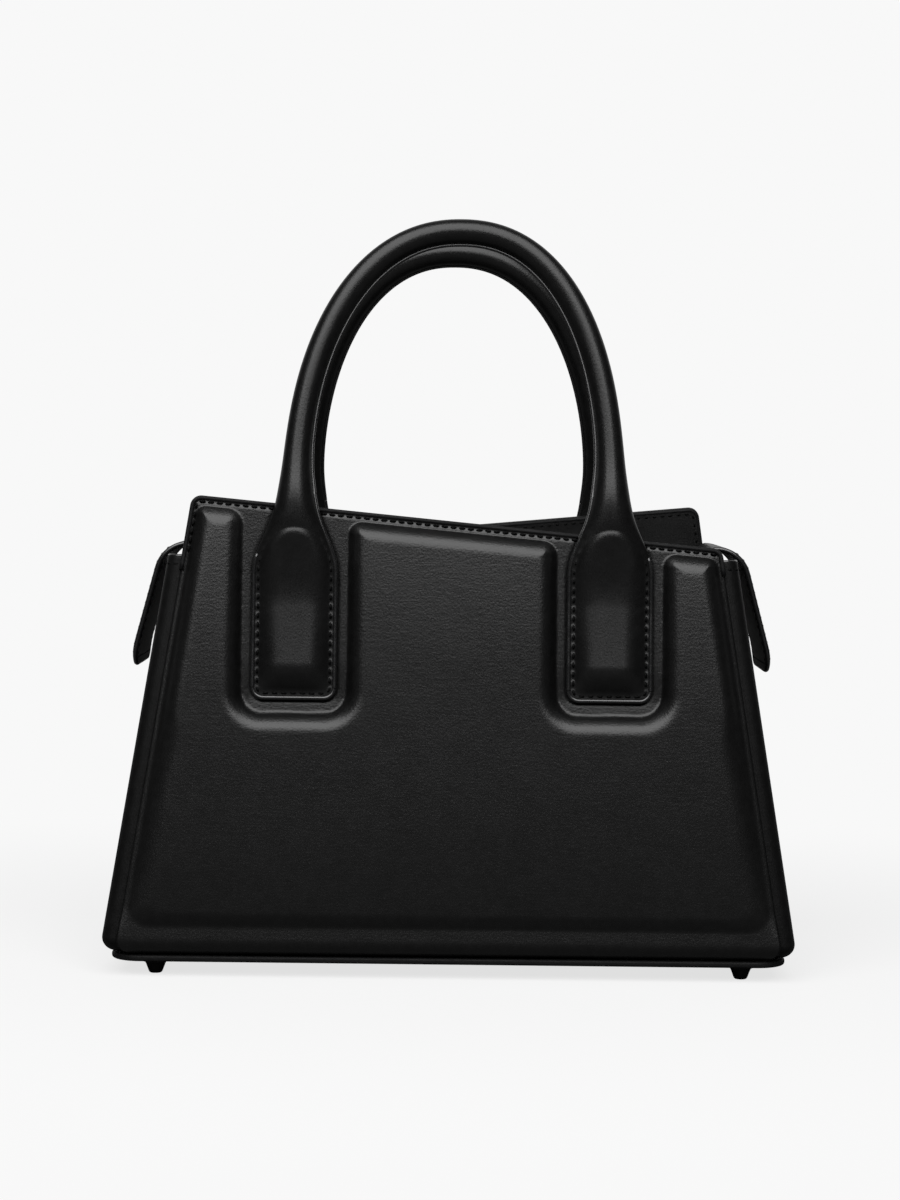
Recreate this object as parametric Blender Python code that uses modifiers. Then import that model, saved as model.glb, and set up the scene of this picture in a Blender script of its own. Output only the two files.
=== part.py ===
"""A small structured leather tote bag, in metres, +Z up.

The bag stands on four feet. Its origin is on the floor, midway between the feet. The front looks
along -Y and the right end along +X. The back and the left end are the front and the right end
turned half a turn about Z, so each pair is written once. The front and back top edges slope down
to their own right, and the back one lies a little lower.
"""
import math

import bmesh
import bpy
from mathutils import Euler, Matrix, Vector

# Body: a tapering box whose walls roll under at the base
BODY_HALF_WIDTH = 0.1350        # outside of the gussets, where they are widest
BODY_HALF_DEPTH = 0.0600        # outside of the panels, where they are deepest
BODY_HEIGHT = 0.1690            # base seam to the middle of the front top edge
SIDE_LEAN = math.radians(8.9)
PANEL_LEAN = math.radians(6.0)
TOP_TILT = math.radians(5.26)   # slope of the top edges
BACK_DROP = 0.0040              # how much lower the back top edge lies
ROLL_RADIUS = 0.0062            # rolled lower edge
FIT_GAP = 0.0003                # between pieces that lie on each other
EDGE_GAP = 0.0005               # around boards and cloth that end at a wall
CUT_OVERRUN = 0.0020            # how far a cutter runs past what it cuts
MERGE_DISTANCE = 0.000003
SMOOTH_ANGLE = math.radians(35.0)

# Leather, boards and cloth
PANEL_THICKNESS = 0.0014
GUSSET_THICKNESS = 0.0014
STIFFENER_THICKNESS = 0.0014
FACING_THICKNESS = 0.0012
LINING_THICKNESS = 0.0008
BASE_THICKNESS = 0.0025
BASE_BOARD_THICKNESS = 0.0020

# Gussets
GUSSET_BULGE = 0.0062           # how far a gusset stands out past the panel's side edge
GUSSET_CORNER_RADIUS = 0.0055
FLANGE_WIDTH = 0.0080           # gusset leather that laps behind the panel
GUSSET_TOP_DROP = 0.0136        # gusset top below the middle of the front top edge
GUSSET_DIP = 0.0060             # hollow in the gusset's top, where the end tab passes
GUSSET_DIP_RUN_SHARE = 0.42     # how much of the half depth the hollow takes to sink
GUSSET_FLAT_SHARES = (-0.8, -0.55, 0.55, 0.8)

# Base and feet
BASE_LIP = 0.0032               # base edge standing out past the seam
BASE_CORNER_RADIUS = 0.0120
FOOT_HEIGHT = 0.0058
FOOT_INSET_X = 0.0174           # from the base panel's edge to a foot's centre
FOOT_INSET_Y = 0.0095
FOOT_RADIUS = 0.0043
FOOT_TIP_RADIUS = 0.0026
FOOT_FLANGE_RADIUS = 0.0052
FOOT_FLANGE_THICKNESS = 0.0010
FOOT_SHANK_RADIUS = 0.0015
FOOT_BEND_SHARES = (0.62, 0.18) # heights at which the foot's side bends
WASHER_RADIUS = 0.0045
WASHER_THICKNESS = 0.0006

# Padded fields of the front and back panels
FIELD_RAISE = 0.0040
FIELD_SLOPE = 0.0036            # run of the sloping border of a raised field
FIELD_KNEE_SHARE = 0.6          # height of the border's middle
FIELD_SIDE_MARGIN = 0.0045
FIELD_TOP_MARGIN = 0.0048
FIELD_BASE_MARGIN = 0.0166      # above the base seam
FIELD_CORNER_RADIUS = 0.0055
RECESS_CORNER_RADIUS = 0.0085
RECESS_SIDE_MARGIN = 0.0049     # beside a handle tab
RECESS_BASE_MARGIN = 0.0065     # below a handle tab
PAD_SKIN = 0.0014               # leather left around the padding

# Handles and their tabs
TAB_SIDE_INSET = 0.0420         # panel's top corner to a tab's centre line
TAB_HALF_WIDTH = 0.0163
TAB_DROP = 0.0697               # tab's lower edge below the middle of the top edge
TAB_THICKNESS = 0.0016
TAB_CORNER_RADIUS = 0.0045
TAB_SHOULDER_RISE = 0.0490      # tab's lower edge to where it starts to narrow
TAB_PILL_HALF_WIDTH = 0.0098
TAB_PILL_RAISE = 0.0030
TAB_PILL_MARGIN = 0.0062        # above the tab's lower edge
TAB_PILL_LENGTH = 0.0600
TAB_PILL_SLOPE = 0.0022
TAB_PILL_WIDTH_SHARE = 0.62     # of the tab, where the tab is narrow
TAB_CORNER_SHARES = (0.0, 0.3, 1.0)
TAB_RISE_SHARES = (0.16, 0.32, 0.48, 0.82, 1.0)
TAB_SWELL_SHARES = (0.0, 0.0, 1.0, 1.05, 1.1, 1.05, 1.0, 0.0, 0.0)
TAB_BACK_SHARES = (1.0, 0.5, 0.0, -0.5, -1.0)
NECK_RISE = 0.0104              # hinge line above the middle of the top edge
NECK_HALF_WIDTH = 0.0073
NECK_THICKNESS = 0.0076
NECK_EDGE_SHARE = 0.58          # height of the neck's side edges in its thickness
NECK_FADE = 0.0095              # height over which a neck becomes the round handle
HANDLE_RISE = 0.1045            # hinge line to the centre line's highest point
HANDLE_RADIUS = 0.0050
HANDLE_LEAN = math.radians(-9.5)   # towards the bag's middle
FRONT_ARCH_SKEW = 0.0022        # how far the front arch's top leans to the right
BACK_ARCH_SKEW = 0.0
HANDLE_CORE_RADIUS = 0.0025
HANDLE_END_ANGLES = (math.radians(80.0), math.radians(55.0), math.radians(28.0))
ARCH_POWER = 2.2                # 2 is an ellipse, more is squarer

# Zip band: two strips between the facings, and the ends that run over the gusset tops
ZIP_RECESS = 0.0030             # chain's centre below the gusset top
STRIP_THICKNESS = 0.0020
STRIP_EDGE = 0.0070             # strip's edge to the middle of the chain
STRIP_ROUND_SHARE = 0.98        # of half the thickness, at the hinge line
TAPE_THICKNESS = 0.0005
TAPE_LAP = 0.0070               # tape under the strip
CHAIN_SPLIT = 0.0008            # middle of the chain to each row of teeth
CHAIN_WIDTH = 0.0022
CHAIN_HEIGHT = 0.0020
CHAIN_CHAMFER = 0.0005
END_HALF_WIDTH = 0.0260
END_THICKNESS = 0.0020
END_FLAT_LENGTH = 0.0160        # level stretch of a zip end, before it climbs
END_CLIMB_LENGTH = 0.0065       # from there to the end tab's hinge line
END_CLIMB_SHARES = (0.0, 0.25, 0.5, 0.75, 1.0)
TAB_ARCH_INSET = 0.0070         # hinge line of an end tab, inside the gusset's top edge
TAB_ARCH_RISE = 0.0036          # hinge line above the gusset top
TAB_ARCH_RADIUS = 0.0130
TAB_HANG_LEAN = math.radians(15.0)
TAB_HANG_LENGTH = 0.0300
TAB_TUCK_RADIUS = 0.0300
TAB_END_LENGTH = 0.0030
TAB_END_CORNER_RADIUS = 0.0090
TAB_ROUND_ANGLES = (math.radians(75.0), math.radians(40.0))

# Zip slider and puller
SLIDER_LENGTH = 0.0090
SLIDER_HALF_WIDTH = 0.0040
SLIDER_PLATE = 0.0010
SLIDER_POST_HALF_WIDTH = 0.0005
SLIDER_PARK_MARGIN = 0.0010     # slider's end to the end of the strips
LUG_THICKNESS = 0.0009
LUG_LENGTH = 0.0030
PULLER_HALF_WIDTH = 0.0022
PULLER_LENGTH = 0.0220
PULLER_THICKNESS = 0.0014
PULLER_BOSS_RADIUS = 0.0013
PULLER_PIN_RADIUS = 0.0005
PULLER_PIN_GAP = 0.00015
PULLER_EYE_WRAP = math.radians(280.0)
STOP_LENGTH = 0.0030

# Levels and planes that follow from the sizes above
SEAM_Z = FOOT_HEIGHT + BASE_THICKNESS + FIT_GAP
ROLL_CENTRE_Z = SEAM_Z + ROLL_RADIUS
TOP_MIDDLE_Z = SEAM_Z + BODY_HEIGHT
GUSSET_TOP_Z = TOP_MIDDLE_Z - GUSSET_TOP_DROP
CHAIN_Z = GUSSET_TOP_Z - ZIP_RECESS
STRIP_BOTTOM_Z = CHAIN_Z + TAPE_THICKNESS / 2 + FIT_GAP
STRIP_Z = STRIP_BOTTOM_Z + STRIP_THICKNESS / 2
FACING_BOTTOM_Z = STRIP_BOTTOM_Z - STRIP_THICKNESS
FLANGE_DEPTH = PANEL_THICKNESS + FIT_GAP
LINING_DEPTH = FLANGE_DEPTH + max(GUSSET_THICKNESS, STIFFENER_THICKNESS) + FIT_GAP
SIDE_LINING_DEPTH = GUSSET_THICKNESS + EDGE_GAP
HALF_TURN = math.pi
PAIR_TURNS = {"front": 0.0, "back": HALF_TURN, "right": 0.0, "left": HALF_TURN}

# Counts of facets
ROLL_STEPS = 5
CORNER_STEPS = 3
ARC_STEPS = 5
TAB_ARCH_STEPS = 7
TAB_TUCK_STEPS = 4
HANDLE_STEPS = 34
HANDLE_SIDES = 12
CORE_RESOLUTION = 2
ROUND_SIDES = 16

PARTS = None
CUTTERS = None


def clear_scene():
    for old in list(bpy.data.objects):
        bpy.data.objects.remove(old, do_unlink=True)


def new_collection(name):
    made = bpy.data.collections.new(name)
    bpy.context.scene.collection.children.link(made)
    return made


def material(name, colour, roughness, metallic=0.0):
    made = bpy.data.materials.new(name)
    made.use_nodes = True
    shader = made.node_tree.nodes["Principled BSDF"]
    shader.inputs["Base Color"].default_value = (*colour, 1.0)
    shader.inputs["Roughness"].default_value = roughness
    shader.inputs["Metallic"].default_value = metallic
    made.diffuse_color = (*colour, 1.0)
    return made


def leather(name):
    return material(name, (0.016, 0.016, 0.017), 0.45)


def board(name):
    return material(name, (0.20, 0.16, 0.11), 0.85)


def foam(name):
    return material(name, (0.55, 0.54, 0.50), 0.95)


def cloth(name):
    return material(name, (0.030, 0.030, 0.032), 0.90)


def dark_metal(name):
    return material(name, (0.045, 0.045, 0.048), 0.30, 1.0)


# Placing and joining solids


def link(made, finish=None, parent=None, cutter=False):
    """Puts an object in its collection, with its finish and its parent."""
    (CUTTERS if cutter else PARTS).objects.link(made)
    if finish is not None:
        made.data.materials.append(finish)
    if parent is not None:
        made.parent = parent
    if cutter:
        made.hide_render = True
        made.display_type = "WIRE"
    return made


def empty(name, location=(0.0, 0.0, 0.0), rotation=(0.0, 0.0, 0.0), parent=None):
    made = bpy.data.objects.new(name, None)
    made.location = location
    made.rotation_euler = rotation
    PARTS.objects.link(made)
    made.parent = parent
    return made


def smooth(mesh):
    mesh.shade_smooth()
    mesh.set_sharp_from_angle(angle=SMOOTH_ANGLE)


def face_outward(bm):
    bmesh.ops.recalc_face_normals(bm, faces=bm.faces)
    if bm.calc_volume(signed=True) < 0:
        bmesh.ops.reverse_faces(bm, faces=bm.faces)


def from_bmesh(name, bm):
    mesh = bpy.data.meshes.new(name)
    bm.to_mesh(mesh)
    bm.free()
    smooth(mesh)
    return bpy.data.objects.new(name, mesh)


def loft(name, rings):
    """A solid between closed rings of like count, with flat ends."""
    bm = bmesh.new()
    loops = [[bm.verts.new(point) for point in ring] for ring in rings]
    for low, high in zip(loops, loops[1:]):
        for i in range(len(low)):
            j = (i + 1) % len(low)
            bm.faces.new((low[i], low[j], high[j], high[i]))
    bm.faces.new(loops[0])
    bm.faces.new(loops[-1])
    face_outward(bm)
    return from_bmesh(name, bm)


def shell(name, rows, thickness):
    """A sheet through rows of points, grown inward by its thickness."""
    bm = bmesh.new()
    grid = [[bm.verts.new(point) for point in row] for row in rows]
    for low, high in zip(grid, grid[1:]):
        for i in range(len(low) - 1):
            bm.faces.new((low[i], low[i + 1], high[i + 1], high[i]))
    made = from_bmesh(name, bm)
    solidify = made.modifiers.new("thickness", "SOLIDIFY")
    solidify.thickness = thickness
    solidify.offset = -1.0
    solidify.use_even_offset = True
    return made


def plate(name, outline, low, high):
    """A flat outline in X and Y, between two heights."""
    curve = bpy.data.curves.new(name, "CURVE")
    curve.dimensions = "2D"
    curve.fill_mode = "BOTH"
    curve.extrude = (high - low) / 2
    spline = curve.splines.new("POLY")
    spline.points.add(len(outline) - 1)
    for point, (x, y) in zip(spline.points, outline):
        point.co = (x, y, 0.0, 1.0)
    spline.use_cyclic_u = True
    made = solid_from_curve(name, curve)
    made.data.transform(Matrix.Translation((0.0, 0.0, (low + high) / 2)))
    return made


def rod(name, points, radius, resolution=CORE_RESOLUTION):
    """A round rod along points."""
    curve = bpy.data.curves.new(name, "CURVE")
    curve.dimensions = "3D"
    curve.bevel_depth = radius
    curve.bevel_resolution = resolution
    curve.use_fill_caps = True
    spline = curve.splines.new("POLY")
    spline.points.add(len(points) - 1)
    for point, place in zip(spline.points, points):
        point.co = (*place, 1.0)
    return solid_from_curve(name, curve)


def solid_from_curve(name, curve):
    guide = bpy.data.objects.new(name + "_guide", curve)
    bpy.context.scene.collection.objects.link(guide)
    bpy.context.view_layer.update()
    graph = bpy.context.evaluated_depsgraph_get()
    mesh = bpy.data.meshes.new_from_object(guide.evaluated_get(graph))
    mesh.name = name
    bpy.data.objects.remove(guide, do_unlink=True)
    bm = bmesh.new()
    bm.from_mesh(mesh)
    bmesh.ops.remove_doubles(bm, verts=bm.verts, dist=MERGE_DISTANCE)
    face_outward(bm)
    bm.to_mesh(mesh)
    bm.free()
    smooth(mesh)
    return bpy.data.objects.new(name, mesh)


def box(name, low, high):
    bm = bmesh.new()
    bmesh.ops.create_cube(bm, size=1.0)
    low = Vector(low)
    high = Vector(high)
    bmesh.ops.scale(bm, vec=high - low, verts=bm.verts)
    bmesh.ops.translate(bm, vec=(low + high) / 2, verts=bm.verts)
    return from_bmesh(name, bm)


def cylinder(name, radius, low, high, centre=(0.0, 0.0), sides=ROUND_SIDES):
    bm = bmesh.new()
    bmesh.ops.create_cone(bm, cap_ends=True, segments=sides, radius1=radius, radius2=radius,
                          depth=high - low)
    bmesh.ops.translate(bm, vec=(centre[0], centre[1], (low + high) / 2), verts=bm.verts)
    return from_bmesh(name, bm)


def turned(name, profile, steps=ROUND_SIDES):
    """A solid of revolution about Z. The profile runs down its outer side, from axis to axis."""
    bm = bmesh.new()
    verts = [bm.verts.new((radius, 0.0, z)) for radius, z in profile]
    for a, b in zip(verts, verts[1:]):
        bm.edges.new((a, b))
    mesh = bpy.data.meshes.new(name)
    bm.to_mesh(mesh)
    bm.free()
    made = bpy.data.objects.new(name, mesh)
    screw = made.modifiers.new("turn", "SCREW")
    screw.steps = steps
    screw.render_steps = steps
    screw.use_merge_vertices = True
    screw.merge_threshold = MERGE_DISTANCE
    screw.use_smooth_shade = True
    return made


def combine(target, other, operation):
    step = target.modifiers.new(other.name, "BOOLEAN")
    step.operation = operation
    step.solver = "EXACT"
    step.object = other


def rounded(corners):
    """An outline whose corners, given as (x, y, radius), are arcs."""
    points = []
    count = len(corners)
    for i, (x, y, radius) in enumerate(corners):
        here = Vector((x, y))
        before = (Vector(corners[i - 1][:2]) - here).normalized()
        after = (Vector(corners[(i + 1) % count][:2]) - here).normalized()
        if radius <= 0:
            points.append((x, y))
            continue
        half = before.angle(after) / 2
        reach = radius / math.tan(half)
        centre = here + (before + after).normalized() * (radius / math.sin(half))
        start = here + before * reach - centre
        end = here + after * reach - centre
        turn = math.copysign(math.pi - 2 * half, start.x * end.y - start.y * end.x)
        for k in range(ARC_STEPS + 1):
            angle = turn * k / ARC_STEPS
            spun = Matrix.Rotation(angle, 2) @ start
            points.append(tuple(centre + spun))
    return points


def ease(share):
    """Rises from 0 to 1 with level ends."""
    share = min(max(share, 0.0), 1.0)
    return share * share * (3 - 2 * share)


# Walls: each is a leaning plane that rolls under at the base


def wall_point(half, lean, depth, station, top_z=None):
    """Distance from the middle and height of a wall's surface, depth inside its outer face.

    Station 0 is the base seam, 1 the end of the roll and 2 the height top_z.
    """
    radius = ROLL_RADIUS - depth
    angle = math.pi / 2 - min(station, 1.0) * (math.pi / 2 + lean)
    distance = half - ROLL_RADIUS + radius * math.cos(angle)
    z = ROLL_CENTRE_Z - radius * math.sin(angle)
    if station > 1.0:
        rise = (station - 1.0) * (top_z - z)
        distance -= rise * math.tan(lean)
        z += rise
    return distance, z


def side_distance(z, depth=0.0):
    """Distance from the middle to a gusset's surface on its leaning plane."""
    start, start_z = wall_point(BODY_HALF_WIDTH, SIDE_LEAN, depth, 1.0)
    return start - (z - start_z) * math.tan(SIDE_LEAN)


def panel_distance(z, depth=0.0):
    """Distance from the middle to a panel's surface on its leaning plane."""
    start, start_z = wall_point(BODY_HALF_DEPTH, PANEL_LEAN, depth, 1.0)
    return start - (z - start_z) * math.tan(PANEL_LEAN)


def top_z(x, drop=0.0, below=0.0):
    """Height of a panel's top edge, or of a line at a distance below it."""
    return TOP_MIDDLE_Z - drop - x * math.tan(TOP_TILT) - below / math.cos(TOP_TILT)


def top_corner(sign, side_margin, drop=0.0, below=0.0):
    """Where a line beside the panel's side edge meets one below its top edge."""
    middle_z = top_z(0.0, drop, below)
    width = side_distance(middle_z) - GUSSET_BULGE - side_margin / math.cos(SIDE_LEAN)
    half = width / (1 - sign * math.tan(TOP_TILT) * math.tan(SIDE_LEAN))
    return sign * half, top_z(sign * half, drop, below)


PANEL_ORIGIN = Vector((0.0, -wall_point(BODY_HALF_DEPTH, PANEL_LEAN, 0.0, 1.0)[0],
                       wall_point(BODY_HALF_DEPTH, PANEL_LEAN, 0.0, 1.0)[1]))
PANEL_ROTATION = Euler((math.pi / 2 - PANEL_LEAN, 0.0, 0.0))


def up_panel(z):
    """Distance up the panel's plane, from the end of the roll to a height."""
    return (z - PANEL_ORIGIN.z) / math.cos(PANEL_LEAN)


def on_panel(x, up, out):
    """A point given in the front panel's plane and out from it."""
    return PANEL_ORIGIN + PANEL_ROTATION.to_matrix() @ Vector((x, up, out))


TAB_CENTRE_X = side_distance(TOP_MIDDLE_Z) - GUSSET_BULGE - TAB_SIDE_INSET
TAB_BOTTOM_UP = up_panel(TOP_MIDDLE_Z) - TAB_DROP
HINGE_UP = up_panel(TOP_MIDDLE_Z) + NECK_RISE
HINGE_OUT = FIT_GAP + NECK_THICKNESS / 2
HANDLE_HINGE = on_panel(0.0, HINGE_UP, HINGE_OUT)
HANDLE_BORE_RADIUS = HANDLE_CORE_RADIUS + FIT_GAP


# Panels and what backs them


def panel_rows(depth, side_margin, drop, top_margin=0.0):
    """Rows of a sheet that follows the front panel from the seam to its top edge."""
    rows = []
    for step in range(ROLL_STEPS + 1):
        station = step / ROLL_STEPS
        y, z = wall_point(BODY_HALF_DEPTH, PANEL_LEAN, depth, station)
        half = wall_point(BODY_HALF_WIDTH, SIDE_LEAN, 0.0, station)[0] - GUSSET_BULGE - side_margin
        rows.append([(-half, -y, z), (half, -y, z)])
    left = top_corner(-1, side_margin, drop, top_margin)
    right = top_corner(1, side_margin, drop, top_margin)
    rows.append([(x, -panel_distance(z, depth), z) for x, z in (left, right)])
    return rows


def field_outline(inset, drop):
    """Outline of the raised field in the panel's plane, drawn in by inset."""
    side_margin = FIELD_SIDE_MARGIN + inset
    below = FIELD_TOP_MARGIN + inset
    bottom_z = SEAM_Z + FIELD_BASE_MARGIN + inset * math.cos(PANEL_LEAN)
    bottom_half = side_distance(bottom_z) - GUSSET_BULGE - side_margin / math.cos(SIDE_LEAN)
    outer = TAB_CENTRE_X + TAB_HALF_WIDTH + RECESS_SIDE_MARGIN + inset
    inner = TAB_CENTRE_X - TAB_HALF_WIDTH - RECESS_SIDE_MARGIN - inset
    recess_up = TAB_BOTTOM_UP - drop - RECESS_BASE_MARGIN - inset
    convex = max(FIELD_CORNER_RADIUS - inset, FIELD_SLOPE / 4)
    concave = RECESS_CORNER_RADIUS + inset
    right_x, right_z = top_corner(1, side_margin, drop, below)
    left_x, left_z = top_corner(-1, side_margin, drop, below)
    return rounded([
        (-bottom_half, up_panel(bottom_z), convex),
        (bottom_half, up_panel(bottom_z), convex),
        (right_x, up_panel(right_z), convex),
        (outer, up_panel(top_z(outer, drop, below)), convex),
        (outer, recess_up, concave),
        (inner, recess_up, concave),
        (inner, up_panel(top_z(inner, drop, below)), convex),
        (-inner, up_panel(top_z(-inner, drop, below)), convex),
        (-inner, recess_up, concave),
        (-outer, recess_up, concave),
        (-outer, up_panel(top_z(-outer, drop, below)), convex),
        (left_x, up_panel(left_z), convex),
    ])


def raised(outline, height):
    return [(x, y, height) for x, y in outline]


def make_panel(side, root, plane, drop):
    """Outer leather with its raised field, open at the back for the padding."""
    panel = shell(side + "_panel", panel_rows(0.0, 0.0, drop), PANEL_THICKNESS)
    link(panel, leather(side + "_panel_leather"), root)
    field = loft(side + "_field_form", [
        raised(field_outline(0.0, drop), -PANEL_THICKNESS / 2),
        raised(field_outline(0.0, drop), 0.0),
        raised(field_outline(FIELD_SLOPE / 2, drop), FIELD_RAISE * FIELD_KNEE_SHARE),
        raised(field_outline(FIELD_SLOPE, drop), FIELD_RAISE),
    ])
    link(field, None, plane, cutter=True)
    combine(panel, field, "UNION")
    pocket_inset = FIELD_SLOPE + PAD_SKIN / 2
    pocket = plate(side + "_field_pocket", field_outline(pocket_inset, drop),
                   -PANEL_THICKNESS - CUT_OVERRUN, FIELD_RAISE - PAD_SKIN)
    link(pocket, None, plane, cutter=True)
    combine(panel, pocket, "DIFFERENCE")
    padding = plate(side + "_padding", field_outline(pocket_inset + EDGE_GAP, drop),
                    -PANEL_THICKNESS, FIELD_RAISE - PAD_SKIN - FIT_GAP)
    link(padding, foam(side + "_padding_foam"), plane)


def make_stiffener(side, root, drop):
    margin = FLANGE_WIDTH + EDGE_GAP
    rows = panel_rows(FLANGE_DEPTH, margin, drop, FIT_GAP)[ROLL_STEPS // 2:]
    made = shell(side + "_stiffener", rows, STIFFENER_THICKNESS)
    link(made, board(side + "_stiffener_board"), root)


def make_facing(side, root, drop):
    """Leather band inside the top edge, above the strips of the zip band."""
    bottom_half = side_distance(FACING_BOTTOM_Z) - GUSSET_BULGE - EDGE_GAP
    rows = [[(sign * bottom_half, -panel_distance(FACING_BOTTOM_Z, LINING_DEPTH), FACING_BOTTOM_Z)
             for sign in (-1, 1)]]
    corners = [top_corner(sign, EDGE_GAP, drop) for sign in (-1, 1)]
    rows.append([(x, -panel_distance(z, LINING_DEPTH), z) for x, z in corners])
    made = shell(side + "_facing", rows, FACING_THICKNESS)
    link(made, leather(side + "_facing_leather"), root)


def make_lining(side, root):
    rows = []
    for step in range(ROLL_STEPS + 2):
        station = min(step / ROLL_STEPS, 1.0) if step <= ROLL_STEPS else 2.0
        y, z = wall_point(BODY_HALF_DEPTH, PANEL_LEAN, LINING_DEPTH, station,
                          FACING_BOTTOM_Z - FIT_GAP)
        half = wall_point(BODY_HALF_WIDTH, SIDE_LEAN, 0.0, station, FACING_BOTTOM_Z - FIT_GAP)[0]
        half -= GUSSET_CORNER_RADIUS + EDGE_GAP
        rows.append([(-half, -y, z), (half, -y, z)])
    made = shell(side + "_lining", rows, LINING_THICKNESS)
    link(made, cloth(side + "_lining_cloth"), root)


# Gussets: a channel whose corners are round and whose flanges lap behind the panels


def gusset_top(share):
    """Height of a gusset's top, which dips between the panels. Share is 0 at the middle."""
    return GUSSET_TOP_Z - GUSSET_DIP * ease((1 - abs(share)) / GUSSET_DIP_RUN_SHARE)


def channel_rows(depth, flange, top_margin):
    """Rows of the right gusset's surface, each from the back flange round to the front one."""
    radius = GUSSET_CORNER_RADIUS - depth
    rows = []
    for step in range(ROLL_STEPS + 2):
        station = step / ROLL_STEPS if step <= ROLL_STEPS else 2.0

        def at(share):
            top = gusset_top(share) - top_margin
            x, x_z = wall_point(BODY_HALF_WIDTH, SIDE_LEAN, depth, station, top)
            y, y_z = wall_point(BODY_HALF_DEPTH, PANEL_LEAN, FLANGE_DEPTH + depth, station, top)
            return x, y, x_z, y_z

        x, y, x_z, y_z = at(1.0)
        quarter = []
        if flange:
            quarter.append((x - GUSSET_CORNER_RADIUS - flange, -y, y_z))
        for k in range(CORNER_STEPS + 1):
            angle = math.pi / 2 * k / CORNER_STEPS
            share = k / CORNER_STEPS
            quarter.append((x - radius + radius * math.sin(angle),
                            -(y - radius + radius * math.cos(angle)),
                            y_z + (x_z - y_z) * share))
        row = list(quarter)
        reach = y - radius
        for share in GUSSET_FLAT_SHARES:
            x, _, x_z, _ = at(share)
            row.append((x, reach * share, x_z))
        row += [(px, -py, pz) for px, py, pz in reversed(quarter)]
        rows.append(row)
    return rows


def make_gusset(side, root):
    flange = FLANGE_WIDTH + GUSSET_BULGE - GUSSET_CORNER_RADIUS
    made = shell(side + "_gusset", channel_rows(0.0, flange, 0.0), GUSSET_THICKNESS)
    link(made, leather(side + "_gusset_leather"), root)
    rows = channel_rows(SIDE_LINING_DEPTH, 0.0, FIT_GAP)
    lining = shell(side + "_lining", rows, LINING_THICKNESS)
    link(lining, cloth(side + "_lining_cloth"), root)


# Base and feet


def rounded_rectangle(half_x, half_y, radius):
    return rounded([(-half_x, -half_y, radius), (half_x, -half_y, radius),
                    (half_x, half_y, radius), (-half_x, half_y, radius)])


SEAM_HALF_X = BODY_HALF_WIDTH - ROLL_RADIUS
SEAM_HALF_Y = BODY_HALF_DEPTH - ROLL_RADIUS
FOOT_X = SEAM_HALF_X + BASE_LIP - FOOT_INSET_X
FOOT_Y = SEAM_HALF_Y + BASE_LIP - FOOT_INSET_Y
FOOT_PLACES = {"front_left": (-FOOT_X, -FOOT_Y), "front_right": (FOOT_X, -FOOT_Y),
               "back_left": (-FOOT_X, FOOT_Y), "back_right": (FOOT_X, FOOT_Y)}
WASHER_Z = SEAM_Z + BASE_BOARD_THICKNESS + FIT_GAP


def drill_for_feet(target, low, high):
    for place, centre in FOOT_PLACES.items():
        hole = cylinder(target.name + "_hole_" + place, FOOT_SHANK_RADIUS + FIT_GAP,
                        low - CUT_OVERRUN, high + CUT_OVERRUN, centre)
        link(hole, None, None, cutter=True)
        combine(target, hole, "DIFFERENCE")


def make_base():
    base = plate("base_panel", rounded_rectangle(SEAM_HALF_X + BASE_LIP, SEAM_HALF_Y + BASE_LIP,
                                                 BASE_CORNER_RADIUS), FOOT_HEIGHT,
                 FOOT_HEIGHT + BASE_THICKNESS)
    link(base, leather("base_leather"))
    drill_for_feet(base, FOOT_HEIGHT, FOOT_HEIGHT + BASE_THICKNESS)
    inside = rounded_rectangle(SEAM_HALF_X - EDGE_GAP, SEAM_HALF_Y - EDGE_GAP, BASE_CORNER_RADIUS)
    stiff = plate("base_board", inside, SEAM_Z, SEAM_Z + BASE_BOARD_THICKNESS)
    link(stiff, board("base_board_board"))
    drill_for_feet(stiff, SEAM_Z, SEAM_Z + BASE_BOARD_THICKNESS)
    floor_z = SEAM_Z + LINING_DEPTH
    floor = plate("floor_lining", inside, floor_z, floor_z + LINING_THICKNESS)
    link(floor, cloth("floor_lining_cloth"))


def make_feet():
    shank_top = WASHER_Z + WASHER_THICKNESS
    cone_top = FOOT_HEIGHT - FIT_GAP - FOOT_FLANGE_THICKNESS
    flange_top = FOOT_HEIGHT - FIT_GAP
    edge = (FOOT_RADIUS - FOOT_TIP_RADIUS) / 4
    upper_share, lower_share = FOOT_BEND_SHARES
    profile = [(0.0, shank_top), (FOOT_SHANK_RADIUS, shank_top),
               (FOOT_SHANK_RADIUS, flange_top), (FOOT_FLANGE_RADIUS, flange_top),
               (FOOT_FLANGE_RADIUS, cone_top), (FOOT_RADIUS, cone_top),
               (FOOT_RADIUS - edge, cone_top * upper_share),
               (FOOT_TIP_RADIUS + edge, cone_top * lower_share),
               (FOOT_TIP_RADIUS, 0.0), (0.0, 0.0)]
    for place, (x, y) in FOOT_PLACES.items():
        foot = turned(place + "_foot", profile)
        foot.location = (x, y, 0.0)
        link(foot, dark_metal(place + "_foot_metal"))


def make_washers():
    """A ring over each foot's shank, on the base board."""
    top = WASHER_Z + WASHER_THICKNESS
    for place, centre in FOOT_PLACES.items():
        washer = cylinder(place + "_washer", WASHER_RADIUS, WASHER_Z, top, centre)
        link(washer, dark_metal(place + "_washer_metal"))
        hole = cylinder(place + "_washer_hole", FOOT_SHANK_RADIUS + FIT_GAP,
                        WASHER_Z - CUT_OVERRUN, top + CUT_OVERRUN, centre)
        link(hole, None, None, cutter=True)
        combine(washer, hole, "DIFFERENCE")


# Handles and their tabs


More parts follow.
